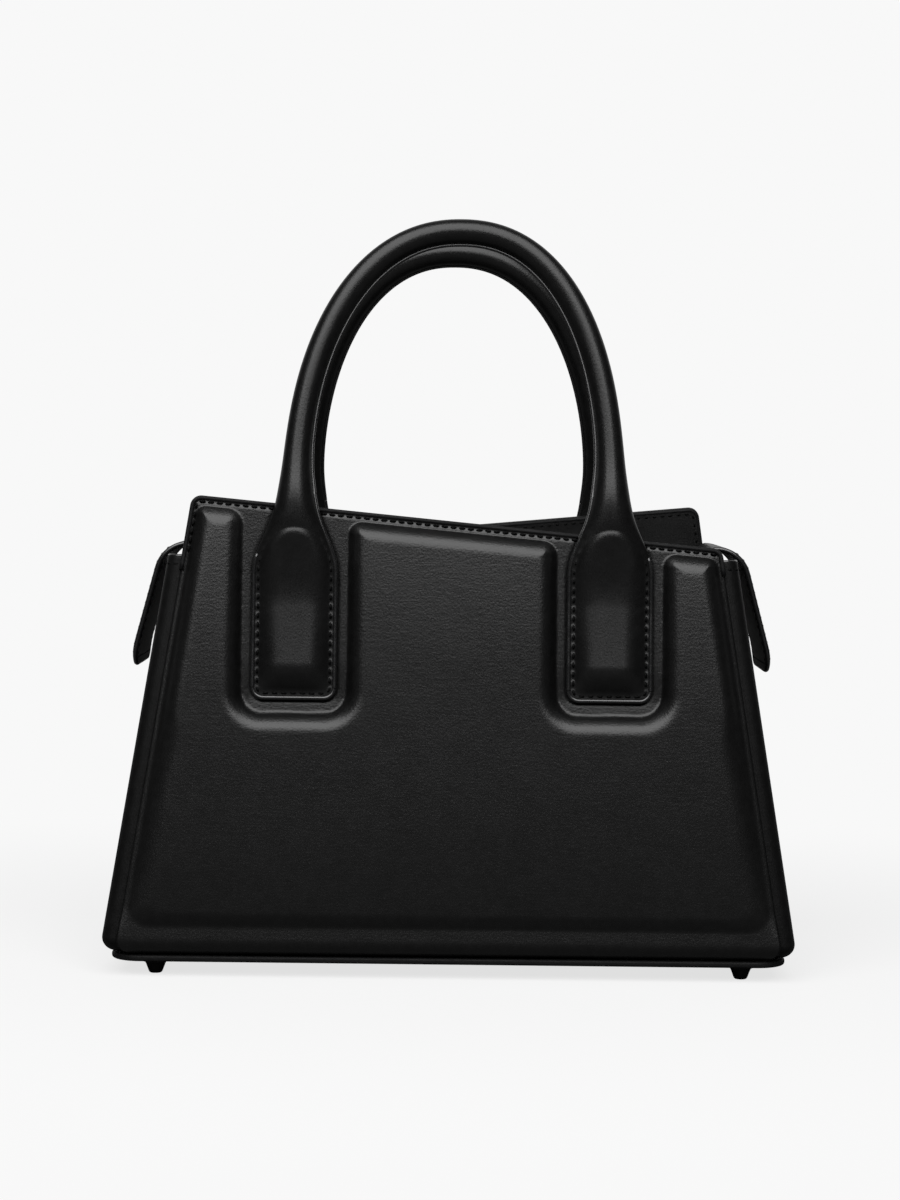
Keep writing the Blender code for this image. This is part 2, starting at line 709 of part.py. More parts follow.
def tab_half_width(up):
    """Half width of a tab at a distance above its lower edge."""
    neck_up = HINGE_UP - TAB_BOTTOM_UP
    if up < TAB_CORNER_RADIUS:
        fall = TAB_CORNER_RADIUS - up
        return TAB_HALF_WIDTH - TAB_CORNER_RADIUS + math.sqrt(TAB_CORNER_RADIUS ** 2 - fall ** 2)
    share = ease((up - TAB_SHOULDER_RISE) / (neck_up - TAB_SHOULDER_RISE))
    return TAB_HALF_WIDTH + (NECK_HALF_WIDTH - TAB_HALF_WIDTH) * share


def tab_ring(up):
    """One section of a tab: flat behind, padded in front, and oval at the neck."""
    neck_up = HINGE_UP - TAB_BOTTOM_UP
    half = tab_half_width(up)
    neck = ease((up - TAB_SHOULDER_RISE) / (neck_up - TAB_SHOULDER_RISE))
    pill_start = (up - TAB_PILL_MARGIN) / TAB_PILL_SLOPE
    pill_end = (TAB_PILL_MARGIN + TAB_PILL_LENGTH - up) / TAB_PILL_SLOPE
    pill = min(max(min(pill_start, pill_end), 0.0), 1.0)
    pill_half = min(TAB_PILL_HALF_WIDTH, half * TAB_PILL_WIDTH_SHARE)
    slope = min(TAB_PILL_SLOPE, pill_half / 3)
    top_places = (-half, -pill_half - slope, -pill_half, -pill_half / 2, 0.0,
                  pill_half / 2, pill_half, pill_half + slope, half)
    ring = []
    for x, share in zip(top_places, TAB_SWELL_SHARES):
        round_share = math.sqrt(max(1 - (x / half) ** 2, 0.0))
        flat = TAB_THICKNESS + TAB_PILL_RAISE * pill * share
        oval = NECK_THICKNESS * (NECK_EDGE_SHARE + (1 - NECK_EDGE_SHARE) * round_share)
        ring.append((x, TAB_BOTTOM_UP + up, FIT_GAP + flat + (oval - flat) * neck))
    for share in TAB_BACK_SHARES:
        round_share = math.sqrt(1 - share ** 2)
        oval = NECK_THICKNESS * (1 - NECK_EDGE_SHARE) * (1 - round_share)
        ring.append((half * share, TAB_BOTTOM_UP + up, FIT_GAP + oval * neck))
    return ring


def tab_levels():
    """Distances above a tab's lower edge at which it has a section."""
    top = HINGE_UP - TAB_BOTTOM_UP - NECK_THICKNESS / 2 - FIT_GAP
    levels = [TAB_CORNER_RADIUS * share for share in TAB_CORNER_SHARES]
    levels += [TAB_PILL_MARGIN, TAB_PILL_MARGIN + TAB_PILL_SLOPE]
    levels += [TAB_SHOULDER_RISE]
    rest = top - TAB_SHOULDER_RISE
    pill_top = TAB_PILL_MARGIN + TAB_PILL_LENGTH
    levels += [TAB_SHOULDER_RISE + rest * share for share in TAB_RISE_SHARES]
    levels += [pill_top - TAB_PILL_SLOPE, pill_top]
    return sorted(levels)


def make_tab(side, end, plane, shift, drop):
    """One handle tab with the filler under its padded middle."""
    name = side + "_" + end + "_handle_tab"
    holder = empty(name + "_place", (shift, -drop, 0.0), parent=plane)
    tab = loft(name, [tab_ring(up) for up in tab_levels()])
    link(tab, leather(name + "_leather"), holder)
    skin = TAB_THICKNESS / 2
    low = TAB_BOTTOM_UP + TAB_PILL_MARGIN + TAB_PILL_SLOPE + skin
    high = TAB_BOTTOM_UP + TAB_SHOULDER_RISE
    half = TAB_PILL_HALF_WIDTH - skin

    def pill(inset):
        radius = half - 2 * skin
        side = half - inset
        return rounded([(-side, low + inset, radius), (side, low + inset, radius),
                        (side, high - inset, radius), (-side, high - inset, radius)])

    pocket = plate(name + "_pocket", pill(0.0), -CUT_OVERRUN, FIT_GAP + TAB_PILL_RAISE)
    link(pocket, None, holder, cutter=True)
    combine(tab, pocket, "DIFFERENCE")
    filler = plate(side + "_" + end + "_tab_filler", pill(EDGE_GAP), FIT_GAP, TAB_PILL_RAISE)
    link(filler, foam(name + "_foam"), holder)


def arch_point(angle, skew):
    """A point of a handle's centre line, from its hinge line. Angle 0 is the left end."""
    across = math.cos(angle)
    rise = math.sin(angle)
    x = -math.copysign(TAB_CENTRE_X * abs(across) ** (2 / ARCH_POWER), across)
    z = HANDLE_RISE * abs(rise) ** (2 / ARCH_POWER)
    return Vector((x + skew * (z / HANDLE_RISE) ** 2, 0.0, z))


def handle_path(skew):
    return [arch_point(math.pi * k / HANDLE_STEPS, skew) for k in range(HANDLE_STEPS + 1)]


def oval(centre, across, half_width, half_thickness):
    """A ring about a point of the handle, wide along across and thick along Y."""
    ring = []
    for k in range(HANDLE_SIDES):
        angle = 2 * math.pi * k / HANDLE_SIDES
        place = centre + across * (half_width * math.cos(angle))
        ring.append(place + Vector((0.0, half_thickness * math.sin(angle), 0.0)))
    return ring


def handle_rings(path):
    """Rings from the left end, over the arch, to the right end. The ends are half round."""
    thick = NECK_THICKNESS / 2

    def end_rings(point):
        return [oval(point - Vector((0.0, 0.0, thick * math.sin(angle))), Vector((1.0, 0.0, 0.0)),
                     NECK_HALF_WIDTH, thick * math.cos(angle)) for angle in HANDLE_END_ANGLES]

    rings = end_rings(path[0])
    for i, point in enumerate(path):
        before = path[max(i - 1, 0)]
        after = path[min(i + 1, len(path) - 1)]
        along = (after - before).normalized()
        if i in (0, len(path) - 1):
            along = Vector((0.0, 0.0, 1.0 if i == 0 else -1.0))
        across = Vector((along.z, 0.0, -along.x))
        fade = math.exp(-point.z / NECK_FADE)
        rings.append(oval(point, across, HANDLE_RADIUS + (NECK_HALF_WIDTH - HANDLE_RADIUS) * fade,
                          HANDLE_RADIUS + (thick - HANDLE_RADIUS) * fade))
    mirrored = []
    for ring in reversed(end_rings(path[-1])):
        flipped = [ring[(HANDLE_SIDES // 2 - k) % HANDLE_SIDES] for k in range(HANDLE_SIDES)]
        mirrored.append(flipped)
    return rings + mirrored


def make_handle(side, root, drop, skew):
    """A rolled handle on its hinge line, with a cord core."""
    slide_down = Vector((0.0, -drop * math.sin(PANEL_LEAN), -drop * math.cos(PANEL_LEAN)))
    hinge = empty(side + "_handle_hinge", HANDLE_HINGE + slide_down, (HANDLE_LEAN, 0.0, 0.0), root)
    path = handle_path(skew)
    handle = loft(side + "_handle", handle_rings(path))
    link(handle, leather(side + "_handle_leather"), hinge)
    reach = Vector((0.0, 0.0, NECK_THICKNESS / 2 + CUT_OVERRUN))
    bore = rod(side + "_handle_bore", [path[0] - reach] + path + [path[-1] - reach],
               HANDLE_BORE_RADIUS)
    link(bore, None, hinge, cutter=True)
    combine(handle, bore, "DIFFERENCE")
    core = rod(side + "_handle_core", path, HANDLE_CORE_RADIUS)
    link(core, cloth(side + "_core_cord"), hinge)


# Zip band


FACING_INNER_Y = panel_distance(STRIP_Z, LINING_DEPTH + FACING_THICKNESS)
STRIP_HINGE_Y = FACING_INNER_Y - EDGE_GAP - STRIP_THICKNESS / 2
END_TAB_HINGE_Z = GUSSET_TOP_Z + TAB_ARCH_RISE
TAB_ARCH_X = side_distance(GUSSET_TOP_Z) - TAB_ARCH_INSET
STRIP_HALF_LENGTH = TAB_ARCH_X - END_CLIMB_LENGTH - END_FLAT_LENGTH


def bar_along_x(name, outline, low_x, high_x):
    """A bar with an outline in Y and Z."""
    made = plate(name, outline, low_x, high_x)
    made.data.transform(Euler((math.pi / 2, 0.0, math.pi / 2)).to_matrix().to_4x4())
    return made


def make_strip(side, root):
    """Half of the zip band: leather strip, tape and teeth, turning on the facing's seam."""
    hinge = empty(side + "_strip_hinge", (0.0, -STRIP_HINGE_Y, STRIP_Z), parent=root)
    half = STRIP_THICKNESS / 2
    edge = STRIP_HINGE_Y - STRIP_EDGE
    round_edge = half * STRIP_ROUND_SHARE
    strip = bar_along_x(side + "_zip_strip", rounded([
        (-half, -half, round_edge), (edge, -half, 0.0), (edge, half, 0.0), (-half, half, round_edge),
    ]), -STRIP_HALF_LENGTH, STRIP_HALF_LENGTH)
    link(strip, leather(side + "_strip_leather"), hinge)
    level = CHAIN_Z - STRIP_Z
    low = level - CHAIN_HEIGHT / 2
    high = level + CHAIN_HEIGHT / 2
    teeth_in = STRIP_HINGE_Y - CHAIN_SPLIT
    teeth_out = teeth_in - CHAIN_WIDTH
    tape_end = edge - TAPE_LAP
    tape = bar_along_x(side + "_zip_tape", [
        (tape_end, level - TAPE_THICKNESS / 2), (teeth_out - FIT_GAP, level - TAPE_THICKNESS / 2),
        (teeth_out - FIT_GAP, level + TAPE_THICKNESS / 2), (tape_end, level + TAPE_THICKNESS / 2),
    ], -STRIP_HALF_LENGTH, STRIP_HALF_LENGTH)
    link(tape, cloth(side + "_tape_cloth"), hinge)
    teeth = bar_along_x(side + "_zip_teeth", [
        (teeth_out, low + CHAIN_CHAMFER), (teeth_out + CHAIN_CHAMFER, low), (teeth_in, low),
        (teeth_in, high), (teeth_out + CHAIN_CHAMFER, high), (teeth_out, high - CHAIN_CHAMFER),
    ], -STRIP_HALF_LENGTH, STRIP_HALF_LENGTH)
    link(teeth, dark_metal(side + "_teeth_metal"), hinge)


def flat_ring(x, z, tilt, half_width, half_thickness):
    """A section of a band that runs along X. Tilt is its slope down from level."""
    out = Vector((math.sin(tilt), 0.0, math.cos(tilt))) * half_thickness
    place = Vector((x, 0.0, z))
    across = Vector((0.0, half_width, 0.0))
    return [place + out - across, place + out + across, place - out + across, place - out - across]


ZIP_END_START = STRIP_HALF_LENGTH + FIT_GAP
ZIP_END_CLIMB = ZIP_END_START + END_FLAT_LENGTH


def make_zip_end(side, root):
    """The fixed end of the band, which climbs from the strips to the gusset's top."""
    half = END_THICKNESS / 2
    stop = TAB_ARCH_X - half - FIT_GAP
    run = stop - ZIP_END_CLIMB
    rise = END_TAB_HINGE_Z - STRIP_Z
    rings = [flat_ring(ZIP_END_START, STRIP_Z, 0.0, END_HALF_WIDTH, half)]
    for share in END_CLIMB_SHARES:
        slope = rise / run * 6 * share * (1 - share)
        rings.append(flat_ring(ZIP_END_CLIMB + run * share, STRIP_Z + rise * ease(share),
                               -math.atan(slope), END_HALF_WIDTH, half))
    made = loft(side + "_zip_end", rings)
    link(made, leather(side + "_zip_end_leather"), root)
    return made


def make_zip_start(root, leather_end):
    """The slot, tape and teeth at the end where the slider parks, and their stop."""
    half = END_THICKNESS / 2
    low_z = CHAIN_Z - CHAIN_HEIGHT / 2
    high_z = CHAIN_Z + CHAIN_HEIGHT / 2
    teeth_end = ZIP_END_CLIMB - STOP_LENGTH - FIT_GAP
    outer = CHAIN_SPLIT + CHAIN_WIDTH
    slot = box("zip_slot", (ZIP_END_START - CUT_OVERRUN, -STRIP_EDGE, STRIP_Z - half - CUT_OVERRUN),
               (ZIP_END_CLIMB, STRIP_EDGE, STRIP_Z + half + CUT_OVERRUN))
    link(slot, None, root, cutter=True)
    combine(leather_end, slot, "DIFFERENCE")
    tape_half = TAPE_THICKNESS / 2
    tape = box("zip_end_tape", (ZIP_END_START, -STRIP_EDGE - TAPE_LAP, CHAIN_Z - tape_half),
               (ZIP_END_CLIMB + STOP_LENGTH, STRIP_EDGE + TAPE_LAP, CHAIN_Z + tape_half))
    link(tape, cloth("zip_end_tape_cloth"), root)
    groove = box("zip_tape_groove", (ZIP_END_START - CUT_OVERRUN, -outer - FIT_GAP, low_z),
                 (teeth_end + FIT_GAP, outer + FIT_GAP, high_z))
    link(groove, None, root, cutter=True)
    combine(tape, groove, "DIFFERENCE")
    for name, low_y, high_y in (("back", -outer, -CHAIN_SPLIT), ("front", CHAIN_SPLIT, outer)):
        row = box("zip_end_teeth_" + name, (ZIP_END_START, low_y, low_z), (teeth_end, high_y, high_z))
        link(row, dark_metal("zip_end_teeth_metal_" + name), root)
    stop_z = CHAIN_Z + tape_half + FIT_GAP
    stop = box("zip_stop", (ZIP_END_CLIMB - STOP_LENGTH, -outer, stop_z),
               (ZIP_END_CLIMB - FIT_GAP, outer, stop_z + CHAIN_HEIGHT / 2))
    link(stop, dark_metal("zip_stop_metal"), root)


def tab_stations():
    """Centre line of an end tab from its hinge: distance along, x, z and slope down from level."""
    stations = []
    full_turn = math.pi / 2 - TAB_HANG_LEAN
    for k in range(TAB_ARCH_STEPS + 1):
        turn = full_turn * k / TAB_ARCH_STEPS
        stations.append((TAB_ARCH_RADIUS * turn, TAB_ARCH_RADIUS * math.sin(turn),
                         -TAB_ARCH_RADIUS * (1 - math.cos(turn)), turn))
    along, x, z, turn = stations[-1]
    stations.append((along + TAB_HANG_LENGTH, x + TAB_HANG_LENGTH * math.cos(turn),
                     z - TAB_HANG_LENGTH * math.sin(turn), turn))
    along, x, z, turn = stations[-1]
    for k in range(1, TAB_TUCK_STEPS + 1):
        more = TAB_HANG_LEAN * k / TAB_TUCK_STEPS
        centre_x = x - TAB_TUCK_RADIUS * math.sin(turn)
        centre_z = z - TAB_TUCK_RADIUS * math.cos(turn)
        stations.append((along + TAB_TUCK_RADIUS * more,
                         centre_x + TAB_TUCK_RADIUS * math.sin(turn + more),
                         centre_z + TAB_TUCK_RADIUS * math.cos(turn + more), turn + more))
    along, x, z, turn = stations[-1]
    stations.append((along + TAB_END_LENGTH, x + TAB_END_LENGTH * math.cos(turn),
                     z - TAB_END_LENGTH * math.sin(turn), turn))
    return stations


def make_end_tab(side, root):
    """The loose end of the zip band, hanging over the gusset from its hinge line."""
    hinge = empty(side + "_end_tab_hinge", (TAB_ARCH_X, 0.0, END_TAB_HINGE_Z), parent=root)
    half = END_THICKNESS / 2
    rings = []
    for angle in TAB_ROUND_ANGLES:
        back = -half * math.sin(angle)
        rings.append(flat_ring(back, 0.0, 0.0, END_HALF_WIDTH, half * math.cos(angle)))
    stations = tab_stations()
    length = stations[-1][0]
    for along, x, z, turn in stations:
        left = length - along
        width = END_HALF_WIDTH
        if left < TAB_END_CORNER_RADIUS:
            fall = TAB_END_CORNER_RADIUS - left
            width += math.sqrt(TAB_END_CORNER_RADIUS ** 2 - fall ** 2) - TAB_END_CORNER_RADIUS
        rings.append(flat_ring(x, z, turn, width, half))
    made = loft(side + "_end_tab", rings)
    link(made, leather(side + "_end_tab_leather"), hinge)


def make_slider(root):
    """Slider on the teeth, with the pin that carries the puller."""
    middle = ZIP_END_START + SLIDER_PARK_MARGIN + SLIDER_LENGTH / 2
    place = empty("zip_slider_place", (middle, 0.0, CHAIN_Z), parent=root)
    inner = CHAIN_HEIGHT / 2 + FIT_GAP
    outer = inner + SLIDER_PLATE
    half = SLIDER_LENGTH / 2
    wide = SLIDER_HALF_WIDTH
    slider = box("zip_slider", (-half, -wide, inner), (half, wide, outer))
    link(slider, dark_metal("slider_metal"), place)
    pin_z = outer + FIT_GAP + PULLER_BOSS_RADIUS
    lug_in = PULLER_HALF_WIDTH + FIT_GAP
    lug_out = lug_in + LUG_THICKNESS
    bury = outer - SLIDER_PLATE / 2
    bits = [box("slider_lower_plate", (-half, -wide, -outer), (half, wide, -inner)),
            box("slider_post", (-LUG_LENGTH / 2, -SLIDER_POST_HALF_WIDTH, -bury),
                (LUG_LENGTH / 2, SLIDER_POST_HALF_WIDTH, bury))]
    for sign, name in ((-1, "near"), (1, "far")):
        low = min(sign * lug_in, sign * lug_out)
        high = max(sign * lug_in, sign * lug_out)
        bits.append(box("slider_lug_" + name, (-LUG_LENGTH / 2, low, bury),
                        (LUG_LENGTH / 2, high, pin_z + PULLER_BOSS_RADIUS)))
    reach = (lug_in + lug_out) / 2
    pin = rod("slider_pin", [(0.0, -reach, pin_z), (0.0, reach, pin_z)], PULLER_PIN_RADIUS)
    bits.append(pin)
    for bit in bits:
        link(bit, None, place, cutter=True)
        combine(slider, bit, "UNION")
    make_puller(place, pin_z)


def make_puller(place, pin_z):
    """A flat puller on the slider's pin, lying along the teeth."""
    hinge = empty("zip_puller_hinge", (0.0, 0.0, pin_z), parent=place)
    half = PULLER_THICKNESS / 2
    outline = [(-PULLER_LENGTH, -half), (-PULLER_BOSS_RADIUS, -half)]
    for k in range(ARC_STEPS * 2 + 1):
        angle = PULLER_EYE_WRAP * (k / (ARC_STEPS * 2) - 1 / 2)
        outline.append((PULLER_BOSS_RADIUS * math.cos(angle), PULLER_BOSS_RADIUS * math.sin(angle)))
    outline += [(-PULLER_BOSS_RADIUS, half), (-PULLER_LENGTH, half)]
    puller = plate("zip_puller", outline, -PULLER_HALF_WIDTH, PULLER_HALF_WIDTH)
    puller.data.transform(Euler((math.pi / 2, 0.0, 0.0)).to_matrix().to_4x4())
    link(puller, leather("puller_leather"), hinge)
    eye = rod("zip_puller_eye", [(0.0, -PULLER_HALF_WIDTH - CUT_OVERRUN, 0.0),
                                 (0.0, PULLER_HALF_WIDTH + CUT_OVERRUN, 0.0)],
              PULLER_PIN_RADIUS + PULLER_PIN_GAP)
    link(eye, None, hinge, cutter=True)
    combine(puller, eye, "DIFFERENCE")


def build():
    global PARTS, CUTTERS
    clear_scene()
    PARTS = new_collection("tote_bag")
    CUTTERS = new_collection("tote_bag_cutters")
    roots = {side: empty(side + "_half", rotation=(0.0, 0.0, turn))
             for side, turn in PAIR_TURNS.items()}
    for side, drop, skew in (("front", 0.0, FRONT_ARCH_SKEW), ("back", BACK_DROP, BACK_ARCH_SKEW)):
        root = roots[side]
        plane = empty(side + "_plane", PANEL_ORIGIN, PANEL_ROTATION, root)
        make_panel(side, root, plane, drop)
        make_stiffener(side, root, drop)
        make_facing(side, root, drop)
        make_lining(side, root)
        ends = (("left", -TAB_CENTRE_X), ("right", TAB_CENTRE_X))
        if side == "back":
            ends = (("right", -TAB_CENTRE_X), ("left", TAB_CENTRE_X))
        for end, shift in ends:
            make_tab(side, end, plane, shift, drop)
        make_handle(side, root, drop, skew)
        make_strip(side, root)
    for side in ("right", "left"):
        root = roots[side]
        make_gusset(side, root)
        leather_end = make_zip_end(side, root)
        make_end_tab(side, root)
        if side == "left":
            make_zip_start(root, leather_end)
            make_slider(root)
    make_base()
    make_feet()
    make_washers()
    bpy.context.view_layer.update()


build()
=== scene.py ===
"""Looks of a small structured black leather tote bag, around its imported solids.

Metres, +Z up, the front along -Y. Pieces of the front and the right end are written once, and the
back and the left end are the same half a turn about Z. A grid of points is rows by columns, with
columns running to the right and rows upward as seen from outside.
"""
import math
import random

import bpy
import numpy as np
from mathutils import Matrix, Vector


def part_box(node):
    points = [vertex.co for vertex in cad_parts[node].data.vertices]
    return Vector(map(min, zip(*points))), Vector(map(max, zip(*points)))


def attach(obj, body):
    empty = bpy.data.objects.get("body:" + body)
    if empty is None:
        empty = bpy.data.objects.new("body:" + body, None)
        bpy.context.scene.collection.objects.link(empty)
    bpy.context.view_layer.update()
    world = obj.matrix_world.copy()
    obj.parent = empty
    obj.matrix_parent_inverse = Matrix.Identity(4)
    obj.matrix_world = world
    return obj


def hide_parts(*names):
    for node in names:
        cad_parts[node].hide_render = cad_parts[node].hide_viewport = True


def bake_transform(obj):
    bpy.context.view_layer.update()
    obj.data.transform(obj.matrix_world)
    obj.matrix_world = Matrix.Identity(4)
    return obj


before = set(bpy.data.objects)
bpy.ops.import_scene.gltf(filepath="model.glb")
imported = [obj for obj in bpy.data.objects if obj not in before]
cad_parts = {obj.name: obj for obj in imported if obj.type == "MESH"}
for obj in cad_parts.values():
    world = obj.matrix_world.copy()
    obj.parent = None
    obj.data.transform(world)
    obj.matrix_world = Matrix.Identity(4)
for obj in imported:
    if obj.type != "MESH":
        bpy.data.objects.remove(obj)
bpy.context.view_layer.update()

# Body
BODY_HALF_WIDTH = 0.1350
BODY_HALF_DEPTH = 0.0600
BODY_HEIGHT = 0.1690
SIDE_LEAN = math.radians(8.9)
PANEL_LEAN = math.radians(6.0)
TOP_TILT = math.radians(5.26)
BACK_DROP = 0.0040
ROLL_RADIUS = 0.0062
FIT_GAP = 0.0003
PANEL_THICKNESS = 0.0014
GUSSET_THICKNESS = 0.0014
STIFFENER_THICKNESS = 0.0014
FACING_THICKNESS = 0.0012
LINING_THICKNESS = 0.0008
BASE_THICKNESS = 0.0025
FOOT_HEIGHT = 0.0058
GUSSET_BULGE = 0.0062
GUSSET_CORNER_RADIUS = 0.0055
FLANGE_WIDTH = 0.0080
GUSSET_TOP_DROP = 0.0136
GUSSET_DIP = 0.0060
BASE_LIP = 0.0032
BASE_CORNER_RADIUS = 0.0120
PANEL_CORNER_RADIUS = 0.0040

# Handles and tabs
TAB_SIDE_INSET = 0.0420
TAB_HALF_WIDTH = 0.0163
TAB_DROP = 0.0697
TAB_THICKNESS = 0.0016
TAB_CORNER_RADIUS = 0.0045
TAB_SHOULDER_RISE = 0.0490
NECK_RISE = 0.0104
NECK_HALF_WIDTH = 0.0073
NECK_THICKNESS = 0.0076
NECK_FADE = 0.0095
HANDLE_RISE = 0.1045
HANDLE_RADIUS = 0.0050
HANDLE_LEAN = math.radians(-9.5)
ARCH_POWER = 2.2

# Zip band
ZIP_RECESS = 0.0030
STRIP_THICKNESS = 0.0020
STRIP_EDGE = 0.0070
STRIP_EDGE_GAP = 0.0005
TAPE_THICKNESS = 0.0005
TAPE_LAP = 0.0070
CHAIN_SPLIT = 0.0008
CHAIN_WIDTH = 0.0022
CHAIN_HEIGHT = 0.0020
END_HALF_WIDTH = 0.0260
END_THICKNESS = 0.0020
END_FLAT_LENGTH = 0.0160
END_CLIMB_LENGTH = 0.0065
TAB_ARCH_INSET = 0.0070
TAB_ARCH_RISE = 0.0036
TAB_ARCH_RADIUS = 0.0130
TAB_HANG_LEAN = math.radians(15.0)
TAB_HANG_LENGTH = 0.0300
TAB_TUCK_RADIUS = 0.0300
TAB_END_LENGTH = 0.0030
TAB_END_CORNER_RADIUS = 0.0090

# Levels and directions that follow
SEAM_Z = FOOT_HEIGHT + BASE_THICKNESS + FIT_GAP
ROLL_CENTRE_Z = SEAM_Z + ROLL_RADIUS
TOP_MIDDLE_Z = SEAM_Z + BODY_HEIGHT
GUSSET_TOP_Z = TOP_MIDDLE_Z - GUSSET_TOP_DROP
CHAIN_Z = GUSSET_TOP_Z - ZIP_RECESS
STRIP_BOTTOM_Z = CHAIN_Z + TAPE_THICKNESS / 2 + FIT_GAP
STRIP_Z = STRIP_BOTTOM_Z + STRIP_THICKNESS / 2
FACING_BOTTOM_Z = STRIP_BOTTOM_Z - STRIP_THICKNESS
FLANGE_DEPTH = PANEL_THICKNESS + FIT_GAP
LINING_DEPTH = FLANGE_DEPTH + STIFFENER_THICKNESS + FIT_GAP
WALL_DEPTH = LINING_DEPTH + FACING_THICKNESS
HALF_TURN = Matrix.Rotation(math.pi, 4, "Z")
SIDES = {"front": (False, 0.0), "back": (True, BACK_DROP)}
ENDS = {"right": False, "left": True}
CORNERS = ("front_left", "front_right", "back_left", "back_right")
ARCH_SKEWS = {"front": 0.0022, "back": 0.0}
UP = np.array([0.0, math.sin(PANEL_LEAN), math.cos(PANEL_LEAN)])
OUT = np.array([0.0, -math.cos(PANEL_LEAN), math.sin(PANEL_LEAN)])
LEAN_UP = np.array([0.0, -math.sin(HANDLE_LEAN), math.cos(HANDLE_LEAN)])
LEAN_OUT = np.array([0.0, -math.cos(HANDLE_LEAN), -math.sin(HANDLE_LEAN)])
AXIS_X = np.array([1.0, 0.0, 0.0])
AXIS_Y = np.array([0.0, 1.0, 0.0])
AXIS_Z = np.array([0.0, 0.0, 1.0])


# Numbers


def ease(share):
    share = np.clip(share, 0.0, 1.0)
    return share * share * (3 - 2 * share)


def unit(vectors):
    length = np.linalg.norm(vectors, axis=-1, keepdims=True)
    return vectors / np.maximum(length, 1e-12)


def squared_off(value, power):
    """A cosine or sine raised to a power with its sign kept, for boxy ovals."""
    return math.copysign(abs(value) ** power, value)


def run_along(points):
    """Distance along a line at each of its points."""
    step = np.linalg.norm(np.diff(points, axis=0), axis=1)
    return np.concatenate([[0.0], np.cumsum(step)])


# Amount and length of the waves in each sheet
PANEL_WAVES = (0.00016, 0.06)
GUSSET_WAVES = (0.00030, 0.045)
FACING_WAVES = (0.00028, 0.022)
STRIP_WAVES = (0.0003, 0.05)
BAND_END_WAVES = (0.00025, 0.03)
LINING_WAVES = (0.0004, 0.05)
FLOOR_WAVES = (0.0003, 0.05)
WAVE_COUNT = 7


def waves(x, up, seed, amount, length):
    """A soft unevenness: a few long waves in different directions."""
    draw = random.Random(seed)
    total = np.zeros(np.broadcast(x, up).shape)
    for _ in range(WAVE_COUNT):
        turn = draw.uniform(0.0, math.pi)
        size = length * draw.uniform(0.6, 1.6)
        phase = draw.uniform(0.0, 2 * math.pi)
        total += np.sin((x * math.cos(turn) + up * math.sin(turn)) * 2 * math.pi / size + phase)
    return total * amount / WAVE_COUNT


# Meshes


def mesh_piece(name, verts, faces, finishes, face_finish=None):
    """A smooth mesh piece. face_finish gives each face's place in finishes."""
    mesh = bpy.data.meshes.new(name)
    mesh.from_pydata([tuple(v) for v in verts], [], faces)
    for finish in finishes:
        mesh.materials.append(finish)
    if face_finish is not None:
        mesh.polygons.foreach_set("material_index", np.asarray(face_finish, dtype=np.int32))
    mesh.shade_smooth()
    mesh.update()
    made = bpy.data.objects.new(name, mesh)
    bpy.context.scene.collection.objects.link(made)
    return made


def turned_round(made, turned):
    """Half a turn about Z for the back and left pieces."""
    if turned:
        made.data.transform(HALF_TURN)


def placed(made, body, nodes=(), turned=False):
    """Turns a piece to its side, gives it its body, and hides the solids it stands for."""
    turned_round(made, turned)
    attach(made, body)
    if nodes:
        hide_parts(*nodes)
    return made


def grid_faces(rows, columns, start=0):
    index = np.arange(rows * columns).reshape(rows, columns) + start
    quads = np.stack([index[:-1, :-1], index[:-1, 1:], index[1:, 1:], index[1:, :-1]], axis=-1)
    return quads.reshape(-1, 4)


RIM_STEPS = 6


def skin(name, grid, thickness, finishes):
    """A sheet whose outer face is the grid, with a round rim. Finishes are face, back and rim."""
    rows, columns = grid.shape[:2]
    normals = unit(np.cross(np.gradient(grid, axis=1), np.gradient(grid, axis=0)))
    places = [(0, c) for c in range(columns)] + [(r, columns - 1) for r in range(1, rows)]
    places += [(rows - 1, c) for c in range(columns - 2, -1, -1)]
    places += [(r, 0) for r in range(rows - 2, 0, -1)]
    row_index, column_index = np.array(places).T
    edge = grid[row_index, column_index]
    out = normals[row_index, column_index]
    away = unit(np.cross(unit(np.roll(edge, -1, axis=0) - np.roll(edge, 1, axis=0)), out))
    half = thickness / 2
    count = len(places)
    outline = row_index * columns + column_index
    rims = [outline]
    verts = [grid.reshape(-1, 3), (grid - normals * thickness).reshape(-1, 3)]
    for k in range(1, RIM_STEPS):
        angle = math.pi * k / RIM_STEPS
        verts.append(edge - out * half + (out * math.cos(angle) + away * math.sin(angle)) * half)
        rims.append(np.arange(count) + 2 * rows * columns + (k - 1) * count)
    rims.append(outline + rows * columns)
    faces = [grid_faces(rows, columns), grid_faces(rows, columns, rows * columns)[:, ::-1]]
    for low, high in zip(rims, rims[1:]):
        faces.append(np.stack([low, high, np.roll(high, -1), np.roll(low, -1)], axis=-1))
    finish = [0] * len(faces[0]) + [1] * len(faces[1]) + [2] * (count * RIM_STEPS)
    return mesh_piece(name, np.concatenate(verts), np.concatenate(faces).tolist(), finishes, finish)


def flat_grid(x_places, y_places, z):
    """A level grid seen from above."""
    x, y = np.meshgrid(x_places, y_places)
    return np.stack([x, y, np.broadcast_to(z, x.shape)], axis=-1)


